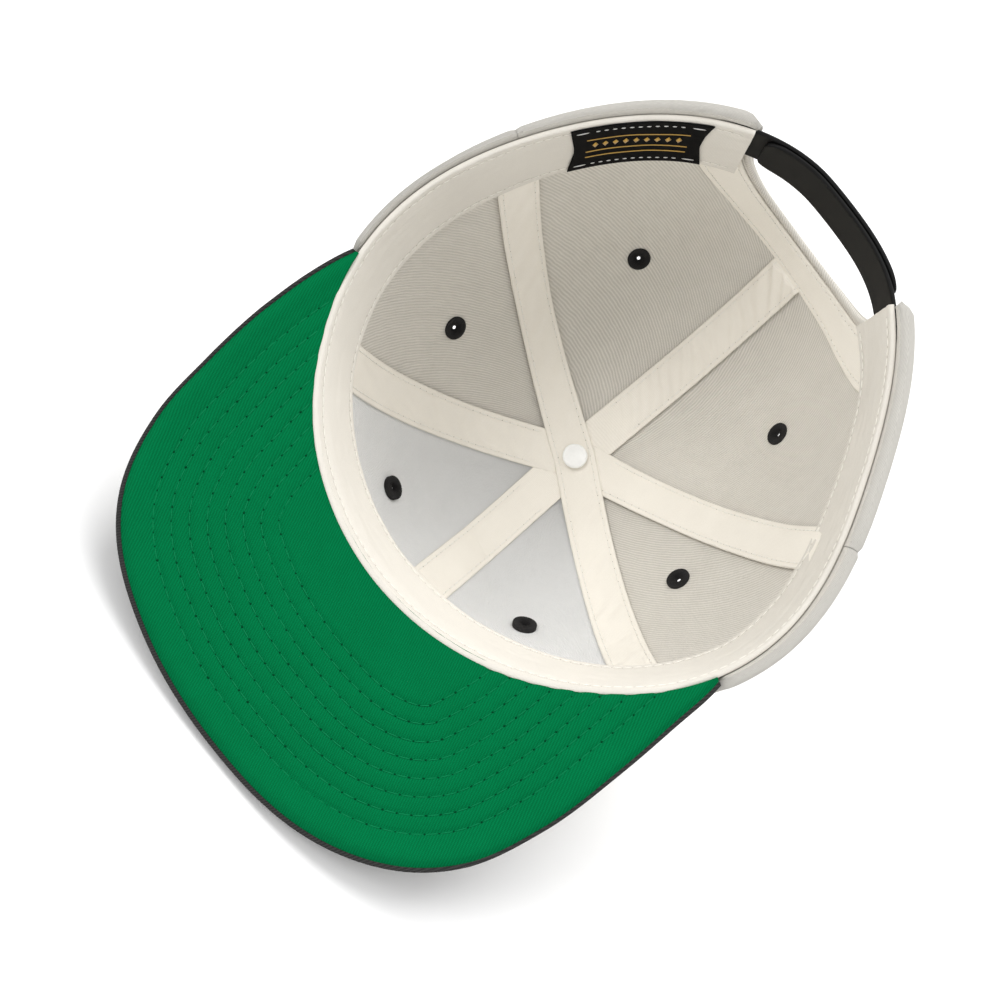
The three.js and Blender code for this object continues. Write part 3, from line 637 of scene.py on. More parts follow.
def panelMesh(first, last):
    rows, rolls, columns = panelSet["wallRows"], panelSet["rollRows"], panelSet["columns"]
    total = 2 * rows + rolls
    margin = panelSet["seamEdge"] / (rimReach((first + last) / 2) * (last - first))

    def at(u, v):
        column, k = round(u * columns), v * total
        share = min(1, max(0, mix(margin, 1 - margin, (column - 1) / (columns - 2))))
        share = 0 if column == 0 else 1 if column == columns else share
        turn = min(pi, max(0, pi * (k - rows) / rolls))
        t = 1 - k / rows if k <= rows else max(0, (k - rows - rolls) / rows)
        near = mix(first, last, share)
        depth = panelDepth(near, t)
        reach = max(1, crownRadius(near, depth))
        edge = min(share, 1 - share) * (last - first) * reach
        fade = 0
        if 0 < column < columns:
            fade = 1 - panelSet["seamDip"] * (1 - smooth(edge / panelSet["seamWidth"]))
        squeeze = panelSet["seamGap"] / reach
        angle = min(last - squeeze, max(first + squeeze, near))
        return panelPoint(angle, t, (1 - cos(turn)) / 2, sin(turn), fade)

    def uvAt(u, v):
        angle = mix(first, last, u)
        k = v * total
        t = 1 - k / rows if k <= rows else (k - rows - rolls) / rows if k >= rows + rolls else 0
        wide = rimReach(angle) * (last - first) * (u - 0.5) * sqrt(max(0.02, 1 - max(t, 0) ** 2))
        long = abs(k - rows - rolls / 2) / rows * crown["girth"] / 4
        return wide * mm, long * mm

    return closeShell(gridSheet(panelSet["columns"], total, at, uvAt))


def archEdge(t, grow):  # in the plane of the back, from one tab over the top to the other
    half = arch["width"] / 2 + grow
    rise = arch["depth"] - arch["straight"] + grow
    side = arch["straight"] / (2 * arch["straight"] + pi * (half + rise) / 2)
    if t < side:
        return -half, arch["straight"] * t / side
    if t > 1 - side:
        return half, arch["straight"] * (1 - t) / side
    turn = pi * (t - side) / (1 - 2 * side)
    return -half * cos(turn), arch["straight"] + rise * sin(turn)


archCentre = crownAt(pi, arch["straight"]).x


def onBack(x, depth, offset):  # x is measured across the back from the arch's middle
    angle = pi
    for _ in range(8):
        p = crownAt(angle, depth)
        angle += (archCentre + x - p.x) / (rimReach(angle) * abs(cos(angle)))
    p = crownAt(angle, depth)
    return place(p + crownSlope(p).normalized() * (offset + softness(p)))


def cutBy(piece, cutter):
    bpy.context.view_layer.objects.active = piece
    modifier = piece.modifiers.new("Cut", "BOOLEAN")
    modifier.operation = "DIFFERENCE"
    modifier.solver = "EXACT"
    modifier.object = cutter
    bpy.ops.object.modifier_apply(modifier=modifier.name)
    bpy.data.objects.remove(cutter)


def cutterPiece(bm):
    bmesh.ops.recalc_face_normals(bm, faces=bm.faces)
    data = bpy.data.meshes.new("cutter")
    bm.to_mesh(data)
    bm.free()
    made = bpy.data.objects.new("cutter", data)
    bpy.context.scene.collection.objects.link(made)
    return made


def archCutter():
    bm = bmesh.new()
    outline = [(-arch["width"] / 2, -arch["cutAbove"])]
    outline += [archEdge(i / arch["steps"], 0) for i in range(arch["steps"] + 1)]
    outline += [(arch["width"] / 2, -arch["cutAbove"])]
    ring = [bm.verts.new(place(Vector((archCentre + x, 0, -z)))) for x, z in outline]
    face = bm.faces.new(ring)
    made = bmesh.ops.extrude_face_region(bm, geom=[face])["geom"]
    far = place(Vector((0, arch["cutReach"], 0))) - place(Vector((0, 0, 0)))
    bmesh.ops.translate(bm, verts=[v for v in made if isinstance(v, bmesh.types.BMVert)], vec=far)
    return cutterPiece(bm)


eyelet = {
    "width": 8.8, "hole": 1.3, "flare": 3.4, "high": 0.6, "strands": 46, "strandHigh": 0.09,
    "inner": 0.2, "innerFront": -1.5, "proud": 0.3, "curve": 0.75, "arcSteps": 8, "room": 1, "boreLong": 12,
    "places": [
        ("front_left", 28, 83), ("side_left", 85, 79), ("back_left", 149, 88),
        ("back_right", 216, 82), ("side_right", 275, 82), ("front_right", 328.5, 83),
    ],
}


def eyeletAxes(angle, depth):
    p = crownAt(radians(angle), depth)
    normal = crownSlope(p).normalized()
    p += normal * softness(p)
    return place(p), (restTurn @ normal).normalized()


def boreCutter(angle, depth, width):
    bm = bmesh.new()
    p, normal = eyeletAxes(angle, depth)
    turn = normal.to_track_quat("Z", "Y").to_matrix().to_4x4()
    radius = width / 2 * mm
    bmesh.ops.create_cone(bm, cap_ends=True, segments=32, radius1=radius, radius2=radius,
                          depth=eyelet["boreLong"] * mm, matrix=Matrix.Translation(p) @ turn)
    return cutterPiece(bm)


def panelWide(first, last):
    return rimReach((first + last) / 2) * (last - first)


def ribAndLightenHem(piece):  # the rolled edge and the outside near it show coarser ribs, and a lighter copy of the twill there is painted light
    piece.data.materials.append(hemLitTwill)
    back = restTurn.transposed()
    for face in piece.data.polygons:
        p = back @ (face.center / mm - restShift)
        depth = -p.z - rimDrop(atan2(-p.x, -p.y))
        level = crownLevel(p.x, p.y, min(p.z, -0.1))
        if depth < panelSet["hemHeight"] * panelSet["hemSpread"] and level > panelSet["hemOutside"]:
            face.material_index = 1


for name, first, last in panelSet["rows"]:
    first, last = radians(first), radians(last)
    piece = addPiece("panel_" + name + "_cloth", panelMesh(first, last), twill, ["panel_" + name])
    ribAndLightenHem(piece)
    for row, angle, depth in eyelet["places"]:
        if row == name:
            cutBy(piece, boreCutter(angle, depth, eyelet["flare"] + eyelet["room"]))
    if "back" in name:
        cutBy(piece, archCutter())
    panelWide(first, last)


def outsideAt(angle, depth, lift):
    p = crownAt(angle, depth)
    offset = outerOffset(angle, depth - rimDrop(angle)) + softness(p) + lift
    return place(p + crownSlope(p).normalized() * offset, offset - softness(p))


def outsideRow(points):
    return [stitchPlace(outsideAt(angle, depth, 0), outsideAt(angle, depth, 1)) for angle, depth in points]


panelThread = []
for name, first, last in panelSet["rows"]:
    for seam, side in ((radians(first), 1), (radians(last), -1)):
        lowest = arch["depth"] + panelSet["archClear"] if abs(seam - pi) < 0.1 else panelSet["seamLow"]
        points = []
        for i in range(panelSet["seamSteps"]):
            share = sin(pi / 2 * i / (panelSet["seamSteps"] - 1))
            depth = mix(lowest + rimDrop(seam), crown["depth"] * panelSet["seamTop"], share)
            points.append((seam + side * panelSet["topstitch"] / max(4, crownRadius(seam, depth)), depth))
        sew(panelThread, outsideRow(points), panelSet["stitch"], panelSet["stitchGap"], panelSet["thread"])
rimStart, rimEnd = radians(peak["to"] + 2), radians(360 + peak["from"] - 2)
besideArch = archAngle + panelSet["rowInset"]
for start, end in ((rimStart, pi - besideArch), (pi + besideArch, rimEnd)):
    steps = panelSet["rimSteps"]
    points = [(mix(start, end, i / steps), panelSet["rimRow"]) for i in range(steps + 1)]
    sew(panelThread, outsideRow(points), panelSet["stitch"], panelSet["stitchGap"], panelSet["thread"])
addThread("panel_stitches", panelThread, creamThread)
print("crown panels ready")

# Stiffeners
stiffener = {
    "rows": [("left", -2, 56), ("right", 301, 358)], "start": 24, "endRadius": 5, "under": 0.1, "thick": 0.6,
    "columns": 40, "wallRows": 50, "tuck": 1.2, "long": 110,
}


def stiffenerMesh(first, last):
    rows = stiffener["wallRows"]

    def at(u, v):
        k = v * (2 * rows + 1)
        if k <= rows:
            t, offset = k / rows, stiffener["under"]
        else:
            t, offset = 2 - (k - 1) / rows, stiffener["under"] + stiffener["thick"]
        angle = mix(first, last, u)
        end = stiffener["endRadius"] / rimReach(angle)
        return onCrown(crownAt(angle, depthAlong(angle, stiffener["start"], end, min(1, max(0, t)))), offset)

    wide = panelWide(first, last)
    return closeShell(gridSheet(stiffener["columns"], 2 * rows + 1, at,
                                lambda u, v: (wide * (u - 0.5) * mm, 0.2 * abs(v - 0.5) * 2)))


for name, first, last in stiffener["rows"]:
    first, last = radians(first + stiffener["tuck"]), radians(last - stiffener["tuck"])
    piece = addPiece("stiffener_" + name + "_cloth", stiffenerMesh(first, last), buckram,
                     ["stiffener_" + name])
    panelWide(first, last)
print("stiffeners ready")

# Seam tapes: each starts under the sweatband
tape = {
    "width": 16, "thick": 0.9, "start": 22, "columns": 130, "rows": 48, "bulge": 0.35, "stitchInset": 1.9,
    "stitch": 2.6, "gap": 0.6, "thread": 0.46, "threadLift": 0.2, "rowSteps": 240,
    "drift": 2.6, "fine": 0.4,
    "dip": 0.75, "dipEase": 1.6,  # where a tape goes under another one
    "edgeFade": 3, "grooveDeep": 0.22, "grooveWide": 0.5,  # the sewing pulls a groove beside each edge
}
# Over names the angles of the tapes that lie on top of this one
tapeRows = [
    {"name": "tape_front", "angle": -2, "over": (56, 301), "end": 6, "start": 22, "startUnder": 0,
     "long": 150, "pucker": 0.12, "lean": 0.2, "pitch": 9},
    {"name": "tape_front_left", "angle": 56, "over": (115, 301), "end": 3.5, "start": 22, "startUnder": 0,
     "long": 150, "pucker": 0.3, "lean": -1.2, "pitch": 9},
    {"name": "tape_side_right", "angle": 251, "over": (115, 301), "end": 3.5, "start": 22, "startUnder": 0,
     "long": 150, "pucker": 0.2, "lean": 0.4, "pitch": 12},
    {"name": "tape_back", "angle": 181, "over": (115, 251), "end": 5, "start": 62, "startUnder": 68.3,
     "long": 90, "pucker": 0.75, "lean": 0.68, "pitch": 5.2},
]
crossTape = {
    "name": "tape_cross", "angle": 115, "far": 301, "long": 290, "span": 250, "raise": 0.55,
    "raiseWide": 0.09, "turnFrom": 0.42, "endShare": 0.0005,
    "pucker": 0.28, "lean": 1.4, "pitch": 13,
}


def puckers(along, aside, row):  # little folds that the sewing pulls across the tape
    drift = tape["drift"] * noise.noise(Vector((along / 11, aside / 16, row["angle"])))
    fold = sin(2 * pi * (along + aside * row["lean"]) / row["pitch"] + drift)
    strength = 0.55 + 0.9 * noise.noise(Vector((along / 13, 2, row["angle"] + 5)))
    fine = noise.noise(Vector((along / 2.4, aside / 5, row["angle"] + 9)))
    return row["pucker"] * (fold * strength + tape["fine"] * fine)


def sewnGroove(edge):
    return tape["grooveDeep"] * bell(edge, tape["stitchInset"], tape["grooveWide"])


def tapeSurface(row, t, aside, lift):
    angle = radians(row["angle"])
    depth = depthAlong(angle, row["start"], row["end"] / rimReach(angle), t)
    p = crownAt(angle, depth) + Vector((-cos(angle), sin(angle), 0)) * aside
    share = depth / crown["depth"]
    x, y = p.x - crown["aside"] * (1 - share), p.y + crown["forward"] * (1 - share)
    radius = hypot(x, y)
    under = smooth((row["startUnder"] + 0.6 - depth) / tape["dipEase"])
    for degree in row["over"]:
        turn = radians(degree)
        if -x * sin(turn) - y * cos(turn) > -4:
            away = abs(x * cos(turn) - y * sin(turn))
            under = max(under, smooth((tape["width"] / 2 + clear - away) / tape["dipEase"]))
    offset = -lift * (1 - 0.4 * under) + tape["dip"] * under
    if lift > tape["thick"] / 2:
        edge = tape["width"] / 2 - abs(aside)
        full = smooth(edge / tape["edgeFade"])
        offset -= (tape["bulge"] * full + puckers(radius, aside, row) * (0.4 + 0.6 * full)) * (1 - under)
        offset += sewnGroove(edge) * (1 - under)
    return onCrown(p, offset)


def crossSurface(t, aside, lift):
    near, far = radians(crossTape["angle"]), radians(crossTape["far"])
    angle, share = (near, t * 2) if t < 0.5 else (far, 2 - t * 2)
    depth = depthAlong(angle, tape["start"], crossTape["endShare"], share)
    p = crownAt(angle, depth)
    blend = smooth((t - crossTape["turnFrom"]) / (1 - 2 * crossTape["turnFrom"]))
    over = Vector((-cos(near), sin(near), 0)).lerp(Vector((cos(far), -sin(far), 0)), blend).normalized()
    middle = bell(t, 0.5, crossTape["raiseWide"])
    p = p + over * aside
    offset = -lift - crossTape["raise"] * middle
    if lift > tape["thick"] / 2:
        edge = tape["width"] / 2 - abs(aside)
        full = smooth(edge / tape["edgeFade"])
        fold = puckers(t * crossTape["span"], aside, crossTape) * (0.4 + 0.6 * full)
        offset -= (tape["bulge"] * full + fold) * (1 - 0.7 * middle)
        offset += sewnGroove(edge)
    return onCrown(p, offset)


# The dark dots in the needle holes of the cream cloth are painted shade; here are their list and their size.
tapeThread, clothHoleShades = [], []
holeShadeWidth = 0.19


def sewTape(surface, start, end):
    for side in (-1, 1):
        aside = side * (tape["width"] / 2 - tape["stitchInset"])
        line = []
        for i in range(tape["rowSteps"] + 1):
            t = mix(start, end, i / tape["rowSteps"])
            line.append(stitchPlace(surface(t, aside, tape["thick"]), surface(t, aside, tape["thick"] + 1)))
        sew(tapeThread, line, tape["stitch"], tape["gap"], tape["thread"], tape["threadLift"], clothHoleShades,
            holeShadeWidth)


for row in tapeRows:
    surface = lambda t, aside, lift, row=row: tapeSurface(row, t, aside, lift)
    mesh = strip(tape["columns"], tape["rows"], row["long"], tape["width"], tape["thick"], surface)
    piece = addPiece(row["name"] + "_cloth", mesh, cotton, [row["name"]])
    sewTape(surface, 0.02, 0.93)
mesh = strip(2 * tape["columns"], tape["rows"], crossTape["long"], tape["width"], tape["thick"], crossSurface)
piece = addPiece(crossTape["name"] + "_cloth", mesh, cotton, [crossTape["name"]])
sewTape(crossSurface, 0.02, 0.98)
addThread("tape_stitches", tapeThread, creamThread)
print("tapes ready")

# Sweatband
band = {
    "width": 30, "thick": 1.0, "rimThick": 0.7, "standBack": 2.2, "standFront": 6.4, "columns": 420,
    "rows": 80, "wrinkle": 0.3, "frontRoll": 1.7, "frontRise": 0.45, "flatten": 2.0, "rowDown": 3.6,
    "edgeRow": 2.6, "stitch": 2.7, "gap": 0.6, "thread": 0.42, "threadLift": 0.18, "weaveLong": 500,
    "meanReach": 90, "rowDeep": 0.28, "edgeDeep": 0.2, "rimFull": 0.25, "waver": 0.6, "rowSteps": 699,
    "frontMiddle": 4, "frontHalf": 58, "frontEase": 32, "endInset": 0.02,  # degrees, and radians for the last
}
bandHalf = pi - archAngle - 1 / rimReach(pi)


def frontShare(angle):  # 1 along the peak
    away = abs(atan2(sin(angle), cos(angle)) - radians(band["frontMiddle"]))
    return smooth((radians(band["frontHalf"]) - away) / radians(band["frontEase"]))


def bandStand(angle):  # how far the free edge stands in from the crown
    stand = band["standBack"] + band["standFront"] * ((1 + cos(angle)) / 2) ** 3
    turn = degrees(angle) % 360
    return stand - band["flatten"] * smooth((turn - 195) / 20) * smooth((300 - turn) / 25)


def bandSurface(angle, down, inward):
    p = crownAt(angle, down if down > 0 else 0)
    offset = -(bandStand(angle) * down / band["width"]) - inward
    q = p + crownSlope(p).normalized() * offset
    q.z -= min(0, down)
    q.z += band["frontRise"] * frontShare(angle) * bell(down, 0, 2.2)
    return place(q)


def bandPoint(angle, down, lift):
    inside = lift / band["thick"]
    rim = bell(down, 0, 5)
    outward = (1 - inside) * band["rimThick"] * rim
    outward += band["frontRoll"] * frontShare(angle) * rim
    inward = lift - outward
    if inside > 0.5:
        s = angle * band["meanReach"]
        long = 0.7 * noise.noise(Vector((s / 15, down / 3.4, 3)))
        long += 0.5 * noise.noise(Vector((s / 7, down / 1.7, 8)))
        cross = noise.noise(Vector((s / 3.2, down / 14, 5)))
        low = band["width"] - band["edgeRow"]
        near = bell(down, band["rowDown"], 3.5) + bell(down, low, 2.5)
        inward += band["wrinkle"] * (long * (1 - 0.5 * near) + 0.45 * cross * near)
        inward -= band["rowDeep"] * bell(down, band["rowDown"], 0.7) + band["edgeDeep"] * bell(down, low, 0.6)
        inward += band["rimFull"] * bell(down, 1.4, 1.4)
    waver = noise.noise(Vector((angle * band["meanReach"] / 30, 0, 2))) * band["waver"]
    return bandSurface(angle, down + waver * smooth((down - 20) / 10), inward)


def bandStrip(t, aside, lift):
    return bandPoint(mix(-bandHalf, bandHalf, t), aside + band["width"] / 2, lift)


mesh = strip(band["columns"], band["rows"], band["weaveLong"], band["width"], band["thick"], bandStrip)
# the band wears the darker copy of the cotton, painted shade
piece = addPiece("sweatband_cloth", mesh, bandShadedCotton, ["sweatband"])
bandThread = []
for down in (band["rowDown"], band["width"] - band["edgeRow"]):
    line = []
    for i in range(band["rowSteps"] + 1):
        angle = (bandHalf - band["endInset"]) * (2 * i / band["rowSteps"] - 1)
        top = bandPoint(angle, down, band["thick"])
        line.append(stitchPlace(top, bandPoint(angle, down, band["thick"] + 1)))
    sew(bandThread, line, band["stitch"], band["gap"], band["thread"], band["threadLift"], clothHoleShades,
        holeShadeWidth)
addThread("sweatband_stitches", bandThread, creamThread)
print("sweatband ready")

# Arch binding
binding = {
    "width": 14, "long": 150, "inset": 2, "thick": 0.9, "columns": 180, "rows": 44,
    "stitch": 2.6, "gap": 0.6, "thread": 0.4, "threadLift": 0.18, "stitchInset": 1.9, "rowSteps": 299,
    "rowStart": 0.03, "seat": 0.05, "bulge": 0.25, "crease": 0.18, "grooveDeep": 0.2,
}


def bindingSurface(t, aside, lift):
    grow = binding["inset"] + binding["width"] / 2 + aside
    x, depth = archEdge(t, grow)
    depth = max(depth, 1)
    offset = crown["gap"] - binding["seat"] - lift
    if lift > binding["thick"] / 2:
        edge = binding["width"] / 2 - abs(aside)
        offset -= binding["bulge"] * smooth(edge / 3)
        offset -= binding["crease"] * noise.noise(Vector((t * 30, aside / 5, 1)))
        offset += binding["grooveDeep"] * bell(edge, binding["stitchInset"], 0.5)
    return onBack(x, depth, offset)


mesh = strip(binding["columns"], binding["rows"], binding["long"], binding["width"], binding["thick"],
             bindingSurface)
piece = addPiece("arch_binding_cloth", mesh, cotton, ["arch_binding"])
bindingThread = []
for side in (-1, 1):
    line = []
    aside = side * (binding["width"] / 2 - binding["stitchInset"])
    for i in range(binding["rowSteps"] + 1):
        t = mix(binding["rowStart"], 1 - binding["rowStart"], i / binding["rowSteps"])
        top = bindingSurface(t, aside, binding["thick"])
        line.append(stitchPlace(top, bindingSurface(t, aside, binding["thick"] + 1)))
    sew(bindingThread, line, binding["stitch"], binding["gap"], binding["thread"], binding["threadLift"],
        clothHoleShades, holeShadeWidth)
addThread("arch_stitches", bindingThread, creamThread)
# Painted shade: dark dots in the needle holes of the cream cloth
addThread("cloth_needle_hole_shade", clothHoleShades, clothHoleShade, 5, 4)


def archBead(u, v):
    turn = 2 * pi * v
    along = mix(arch["beadStart"], 1 - arch["beadStart"], u)
    x, depth = archEdge(along, arch["beadOut"] + arch["bead"] * cos(turn))
    offset = crown["gap"] + arch["beadLift"] + arch["bead"] * sin(turn)
    return onBack(x, max(depth, 0.5), offset)


# The weave's length round the arch and round the bead, in metres
beadWeave = (0.17, 0.0072)
mesh = closeShell(gridSheet(arch["beadColumns"], arch["beadRows"], archBead,
                            lambda u, v: (u * beadWeave[0], v * beadWeave[1])))
addPiece("arch_edge_roll", mesh, twill)
print("arch binding ready")

# Label: woven black, with plain gold rules and lozenges in place of words
label = {
    "width": 47, "high": 28, "thick": 0.5, "angle": 139.2, "columns": 60, "rows": 70, "waist": 2.2,
    "drop": 0.8,
    "sewDown": [2.6, 25.2], "dash": 1.5, "dashGap": 1.3, "dashWidth": 0.5, "endDash": 5.0, "endInset": 1.2,
    "rules": [8.4, 16.5, 20.2], "ruleHalf": 17.2, "ruleWidth": 0.55, "ruleThick": 0.16, "lozengeThick": 0.25,
    "bandGap": 0.35, "crease": 0.18, "rowSteps": 120,
    "lozenges": 9, "lozengeDown": 12.5, "lozengePitch": 3.5, "lozengeWide": 1.1, "lozengeHigh": 2.0,
}


def labelSurface(across, down, lift):  # across runs along the band, down from the rim
    angle = radians(label["angle"]) + across / rimReach(radians(label["angle"]))
    depth = down + label["drop"]
    p = crownAt(angle, depth)
    offset = -(bandStand(angle) * depth / band["width"]) - band["thick"] - label["bandGap"] - lift
    offset -= label["crease"] * noise.noise(Vector((across / 12, down / 9, 4)))
    return place(p + crownSlope(p).normalized() * offset)


def labelHalf(down):  # the sides curve in
    share = 2 * down / label["high"] - 1
    return label["width"] / 2 - label["waist"] * (1 - share ** 2)


def labelStrip(t, aside, lift):
    down = aside + label["high"] / 2
    return labelSurface((2 * t - 1) * labelHalf(down), down, lift)


def labelLine(start, end, down):
    line = []
    for i in range(label["rowSteps"] + 1):
        across = mix(start, end, i / label["rowSteps"])
        face = labelSurface(across, down, label["thick"])
        line.append(stitchPlace(face, labelSurface(across, down, label["thick"] + 1)))
    return line


mesh = strip(label["columns"], label["rows"], label["width"], label["high"], label["thick"], labelStrip)
piece = addPiece("label_cloth", mesh, labelWeave, ["label"])
labelThread, lozenges = [], []
for down in label["sewDown"]:
    half = labelHalf(down) - label["endInset"]
    inner = half - label["endDash"] - label["dashGap"] / 2
    sew(labelThread, labelLine(-inner, inner, down), label["dash"], label["dashGap"], label["dashWidth"], 0.1)
    for side in (-1, 1):
        ends = labelLine(side * half, side * (half - label["endDash"]), down)
        sew(labelThread, ends, label["endDash"] * 0.9, 0.0, label["dashWidth"], 0.1)
addThread("label_stitches", labelThread, whiteThread)
for k, down in enumerate(label["rules"]):
    def ruleSurface(t, aside, lift, down=down):
        return labelSurface((2 * t - 1) * label["ruleHalf"], down + aside, label["thick"] + lift)

    mesh = strip(80, 10, 2 * label["ruleHalf"], label["ruleWidth"], label["ruleThick"], ruleSurface)
    addPiece("label_rule_" + str(k + 1), mesh, goldThread)
for k in range(label["lozenges"]):
    across = (k - (label["lozenges"] - 1) / 2) * label["lozengePitch"]
    middle = labelSurface(across, label["lozengeDown"], label["thick"])
    wide = labelSurface(across + label["lozengeWide"], label["lozengeDown"], label["thick"]) - middle
    high = labelSurface(across, label["lozengeDown"] + label["lozengeHigh"], label["thick"]) - middle
    lift = wide.cross(high).normalized() * label["lozengeThick"] * mm
    lozenges.append(Matrix.Translation(middle) @ Matrix((wide, high, lift)).transposed().to_4x4())
addThread("label_lozenges", lozenges, goldThread, 4, 2)
print("label ready")

# Under-peak, peak and their rows of stitches
under = {
    "columns": 240, "topRows": 96, "edgeRows": 6, "backRows": 10, "inset": 1.15, "puff": 1.25,
    "puffFrom": 4.4, "firstRow": 10.5, "rowPitch": 5.2, "rowCount": 8, "groove": 0.5, "stitch": 3.7,
    "gap": 0.5, "thread": 0.4, "wide": 190, "long": 85, "fullShare": 0.72, "uneven": 0.12, "unevenSize": 16,
    "puffWide": 3.4, "grooveWide": 0.8, "columnEase": -0.15, "reliefFade": 2.5, "rowLeast": 8,
    "nearEdge": 0.995,
}
outlineSteps = 900


def planReach(angle, inset):
    reach = reachAt(angle)
    return max(reach - inset, reach * 0.5)


edgeTree = kdtree.KDTree(outlineSteps + 1)
edgePoints = []
for i in range(outlineSteps + 1):
    angle = peakAngle(i / outlineSteps)
    p = peakAt(angle, reachAt(angle), 0)
    edgePoints.append(Vector((p.x, p.y, 0)))
    edgeTree.insert(edgePoints[-1], i)
edgeTree.balance()


def edgeDistance(p):
    return edgeTree.find(Vector((p.x, p.y, 0)))[2]


def sewnRelief(d):  # d is the distance from the peak's edge
    relief = under["puff"] * bell(d, under["puffFrom"], under["puffWide"])
    row = (d - under["firstRow"]) / under["rowPitch"]
    nearest = min(under["rowCount"] - 1, max(0, round(row)))
    relief -= under["groove"] * bell((row - nearest) * under["rowPitch"], 0, under["grooveWide"])
    return relief


def underMesh():
    total = under["topRows"] + under["edgeRows"] + under["backRows"] + 1

    def at(u, v):
        angle = peakAngle(mix(u, smooth(u), under["columnEase"]))
        full = planReach(angle, under["inset"])
        k = v * total
        half = peak["under"] / 2
        if k > total - 0.5:
            k = 0
        if k <= under["topRows"]:
            out, down = (full - half) * (k / under["topRows"]), peakTop
            p = peakAt(angle, out, down)
            p.z += sewnRelief(edgeDistance(p)) * smooth((full - out) / under["reliefFade"])
            p.z += under["uneven"] * noise.noise(Vector((p.x, p.y, 0)) / under["unevenSize"])
            return place(p)
        if k <= under["topRows"] + under["edgeRows"]:
            turn = pi * (k - under["topRows"]) / under["edgeRows"]
            out, down = full - half + half * sin(turn), peakTop + half - half * cos(turn)
        else:
            share = (k - under["topRows"] - under["edgeRows"]) / under["backRows"]
            out, down = (full - half) * (1 - share), peakTop + peak["under"]
        return place(peakAt(angle, out, down))

    def uvAt(u, v):
        p = peakAt(peakAngle(u), planReach(peakAngle(u), 0) * min(1, v * total / under["topRows"]), 0)
        return p.x * mm, p.y * mm

    return closeShell(gridSheet(under["columns"], total, at, uvAt))


piece = addPiece("peak_under_cloth", underMesh(), greenTwill, ["peak_under"])


def stitchRow(distance):
    runs, run = [], []
    for i in range(1, outlineSteps):
        along = (edgePoints[i + 1] - edgePoints[i - 1]).normalized()
        p = edgePoints[i] + Vector((along.y, -along.x, 0)) * distance
        if edgeTree.find(p)[2] < under["nearEdge"] * distance:
            p = None
        else:
            angle = atan2(crown["aside"] - p.x, -crown["forward"] - p.y)
            reach = hypot(crown["aside"] - p.x, crown["forward"] + p.y)
            out = reach - rimReach(angle) - clear
            p = (angle, out) if out > 1 else None
        if p:
            run.append(p)
        elif run:
            runs.append(run)
            run = []
    if run:
        runs.append(run)
    return [run for run in runs if len(run) > under["rowLeast"]]


# The under-peak's needle holes get dark dots of painted shade.
underThread, underHoleShades, upperThread = [], [], []
for k in range(under["rowCount"]):
    for run in stitchRow(under["firstRow"] + k * under["rowPitch"]):
        line, back = [], []
        for angle, out in run:
            top, over = peakAt(angle, out, peakTop), peakAt(angle, out, peakTop - 1)
            top.z -= under["groove"]
            line.append(stitchPlace(place(top), place(over)))
            low, beneath = peakAt(angle, out, peakBottom), peakAt(angle, out, peakBottom + 1)
            back.append(stitchPlace(place(low), place(beneath)))
        sew(underThread, line, under["stitch"], under["gap"], under["thread"], 0.1, underHoleShades)
        sew(upperThread, back, under["stitch"], under["gap"], under["thread"], 0.05)
addThread("under_peak_stitches", underThread, greenThread)
# Painted shade: dark dots in the needle holes of the under-peak
addThread("under_peak_needle_hole_shade", underHoleShades, needleHoleShade)
addThread("peak_top_stitches", upperThread, blackThread)

upper = {"columns": 200, "lipSteps": 8, "lipHigh": 0.35, "edgeSteps": 6, "topSteps": 16}


def upperMesh():
    def profile(angle):
        reach = reachAt(angle)
        lip = min(peak["lip"], reach / 2)
        curve = lip / 2
        inner = max(reach - lip, reach / 2)
        points = [(0, peakRecess), (inner, peakRecess), (inner, peakTop)]
        for i in range(upper["lipSteps"] + 1):
            turn = pi * i / upper["lipSteps"]
            points.append((reach - lip / 2 - lip / 2 * cos(turn), peakTop - upper["lipHigh"] * sin(turn)))
        points += [(reach, peakBottom - curve)]
        for i in range(1, upper["edgeSteps"] + 1):
            turn = pi / 2 * i / upper["edgeSteps"]
            points.append((reach - curve + curve * cos(turn), peakBottom - curve + curve * sin(turn)))
        for i in range(1, upper["topSteps"] + 1):
            share = 1 - i / upper["topSteps"]
            points.append((reach * share - curve * share, peakBottom))
        points += [(0, peakRecess)]
        return points

    count = len(profile(0)) - 1
    columns = upper["columns"]
    table = [profile(peakAngle(i / columns)) for i in range(columns + 1)]

    def at(u, v):
        out, down = table[round(u * columns)][round(v * count)]
        return place(peakAt(peakAngle(u), out, down))

    def uvAt(u, v):
        out, down = table[round(u * columns)][round(v * count)]
        p = peakAt(peakAngle(u), out + down, 0)
        return p.x * mm, p.y * mm

    return closeShell(gridSheet(columns, count, at, uvAt))


addPiece("peak_upper_cloth", upperMesh(), blackTwill, ["peak_upper"])
print("peak ready")

# Straps
def studAngle(k):
    return pi + (k - (strap["studs"] - 1) / 2) * strap["pitch"] / rimReach(pi)


freeEnd = archAngle - strap["endGap"] / rimReach(pi)


def strapShift(angle, outer):  # the outer strap steps out over the inner one, which lies against it
    t = (angle - pi + pocketAngle) / (pocketAngle + freeEnd)
    shift = (strap["thick"] + clear) * smooth((t - strap["stepStart"]) / strap["stepShare"])
    return shift if outer else shift - strap["thick"] - clear


def strapPoint(t, across, lift, outer):
    if outer:
        angle = mix(pi - pocketAngle, pi + freeEnd, t)
    else:
        angle = mix(pi - freeEnd, pi + pocketAngle, t)
    depth = strap["top"] + strap["width"] / 2 + across
    p = crownAt(angle, depth)
    flatter = strap["flatter"] * cos(pi / 2 * min(1, abs(angle - pi) / archAngle)) ** 2
    return place(p + crownSlope(p).normalized() * (clear + strapShift(angle, outer) + lift - flatter))


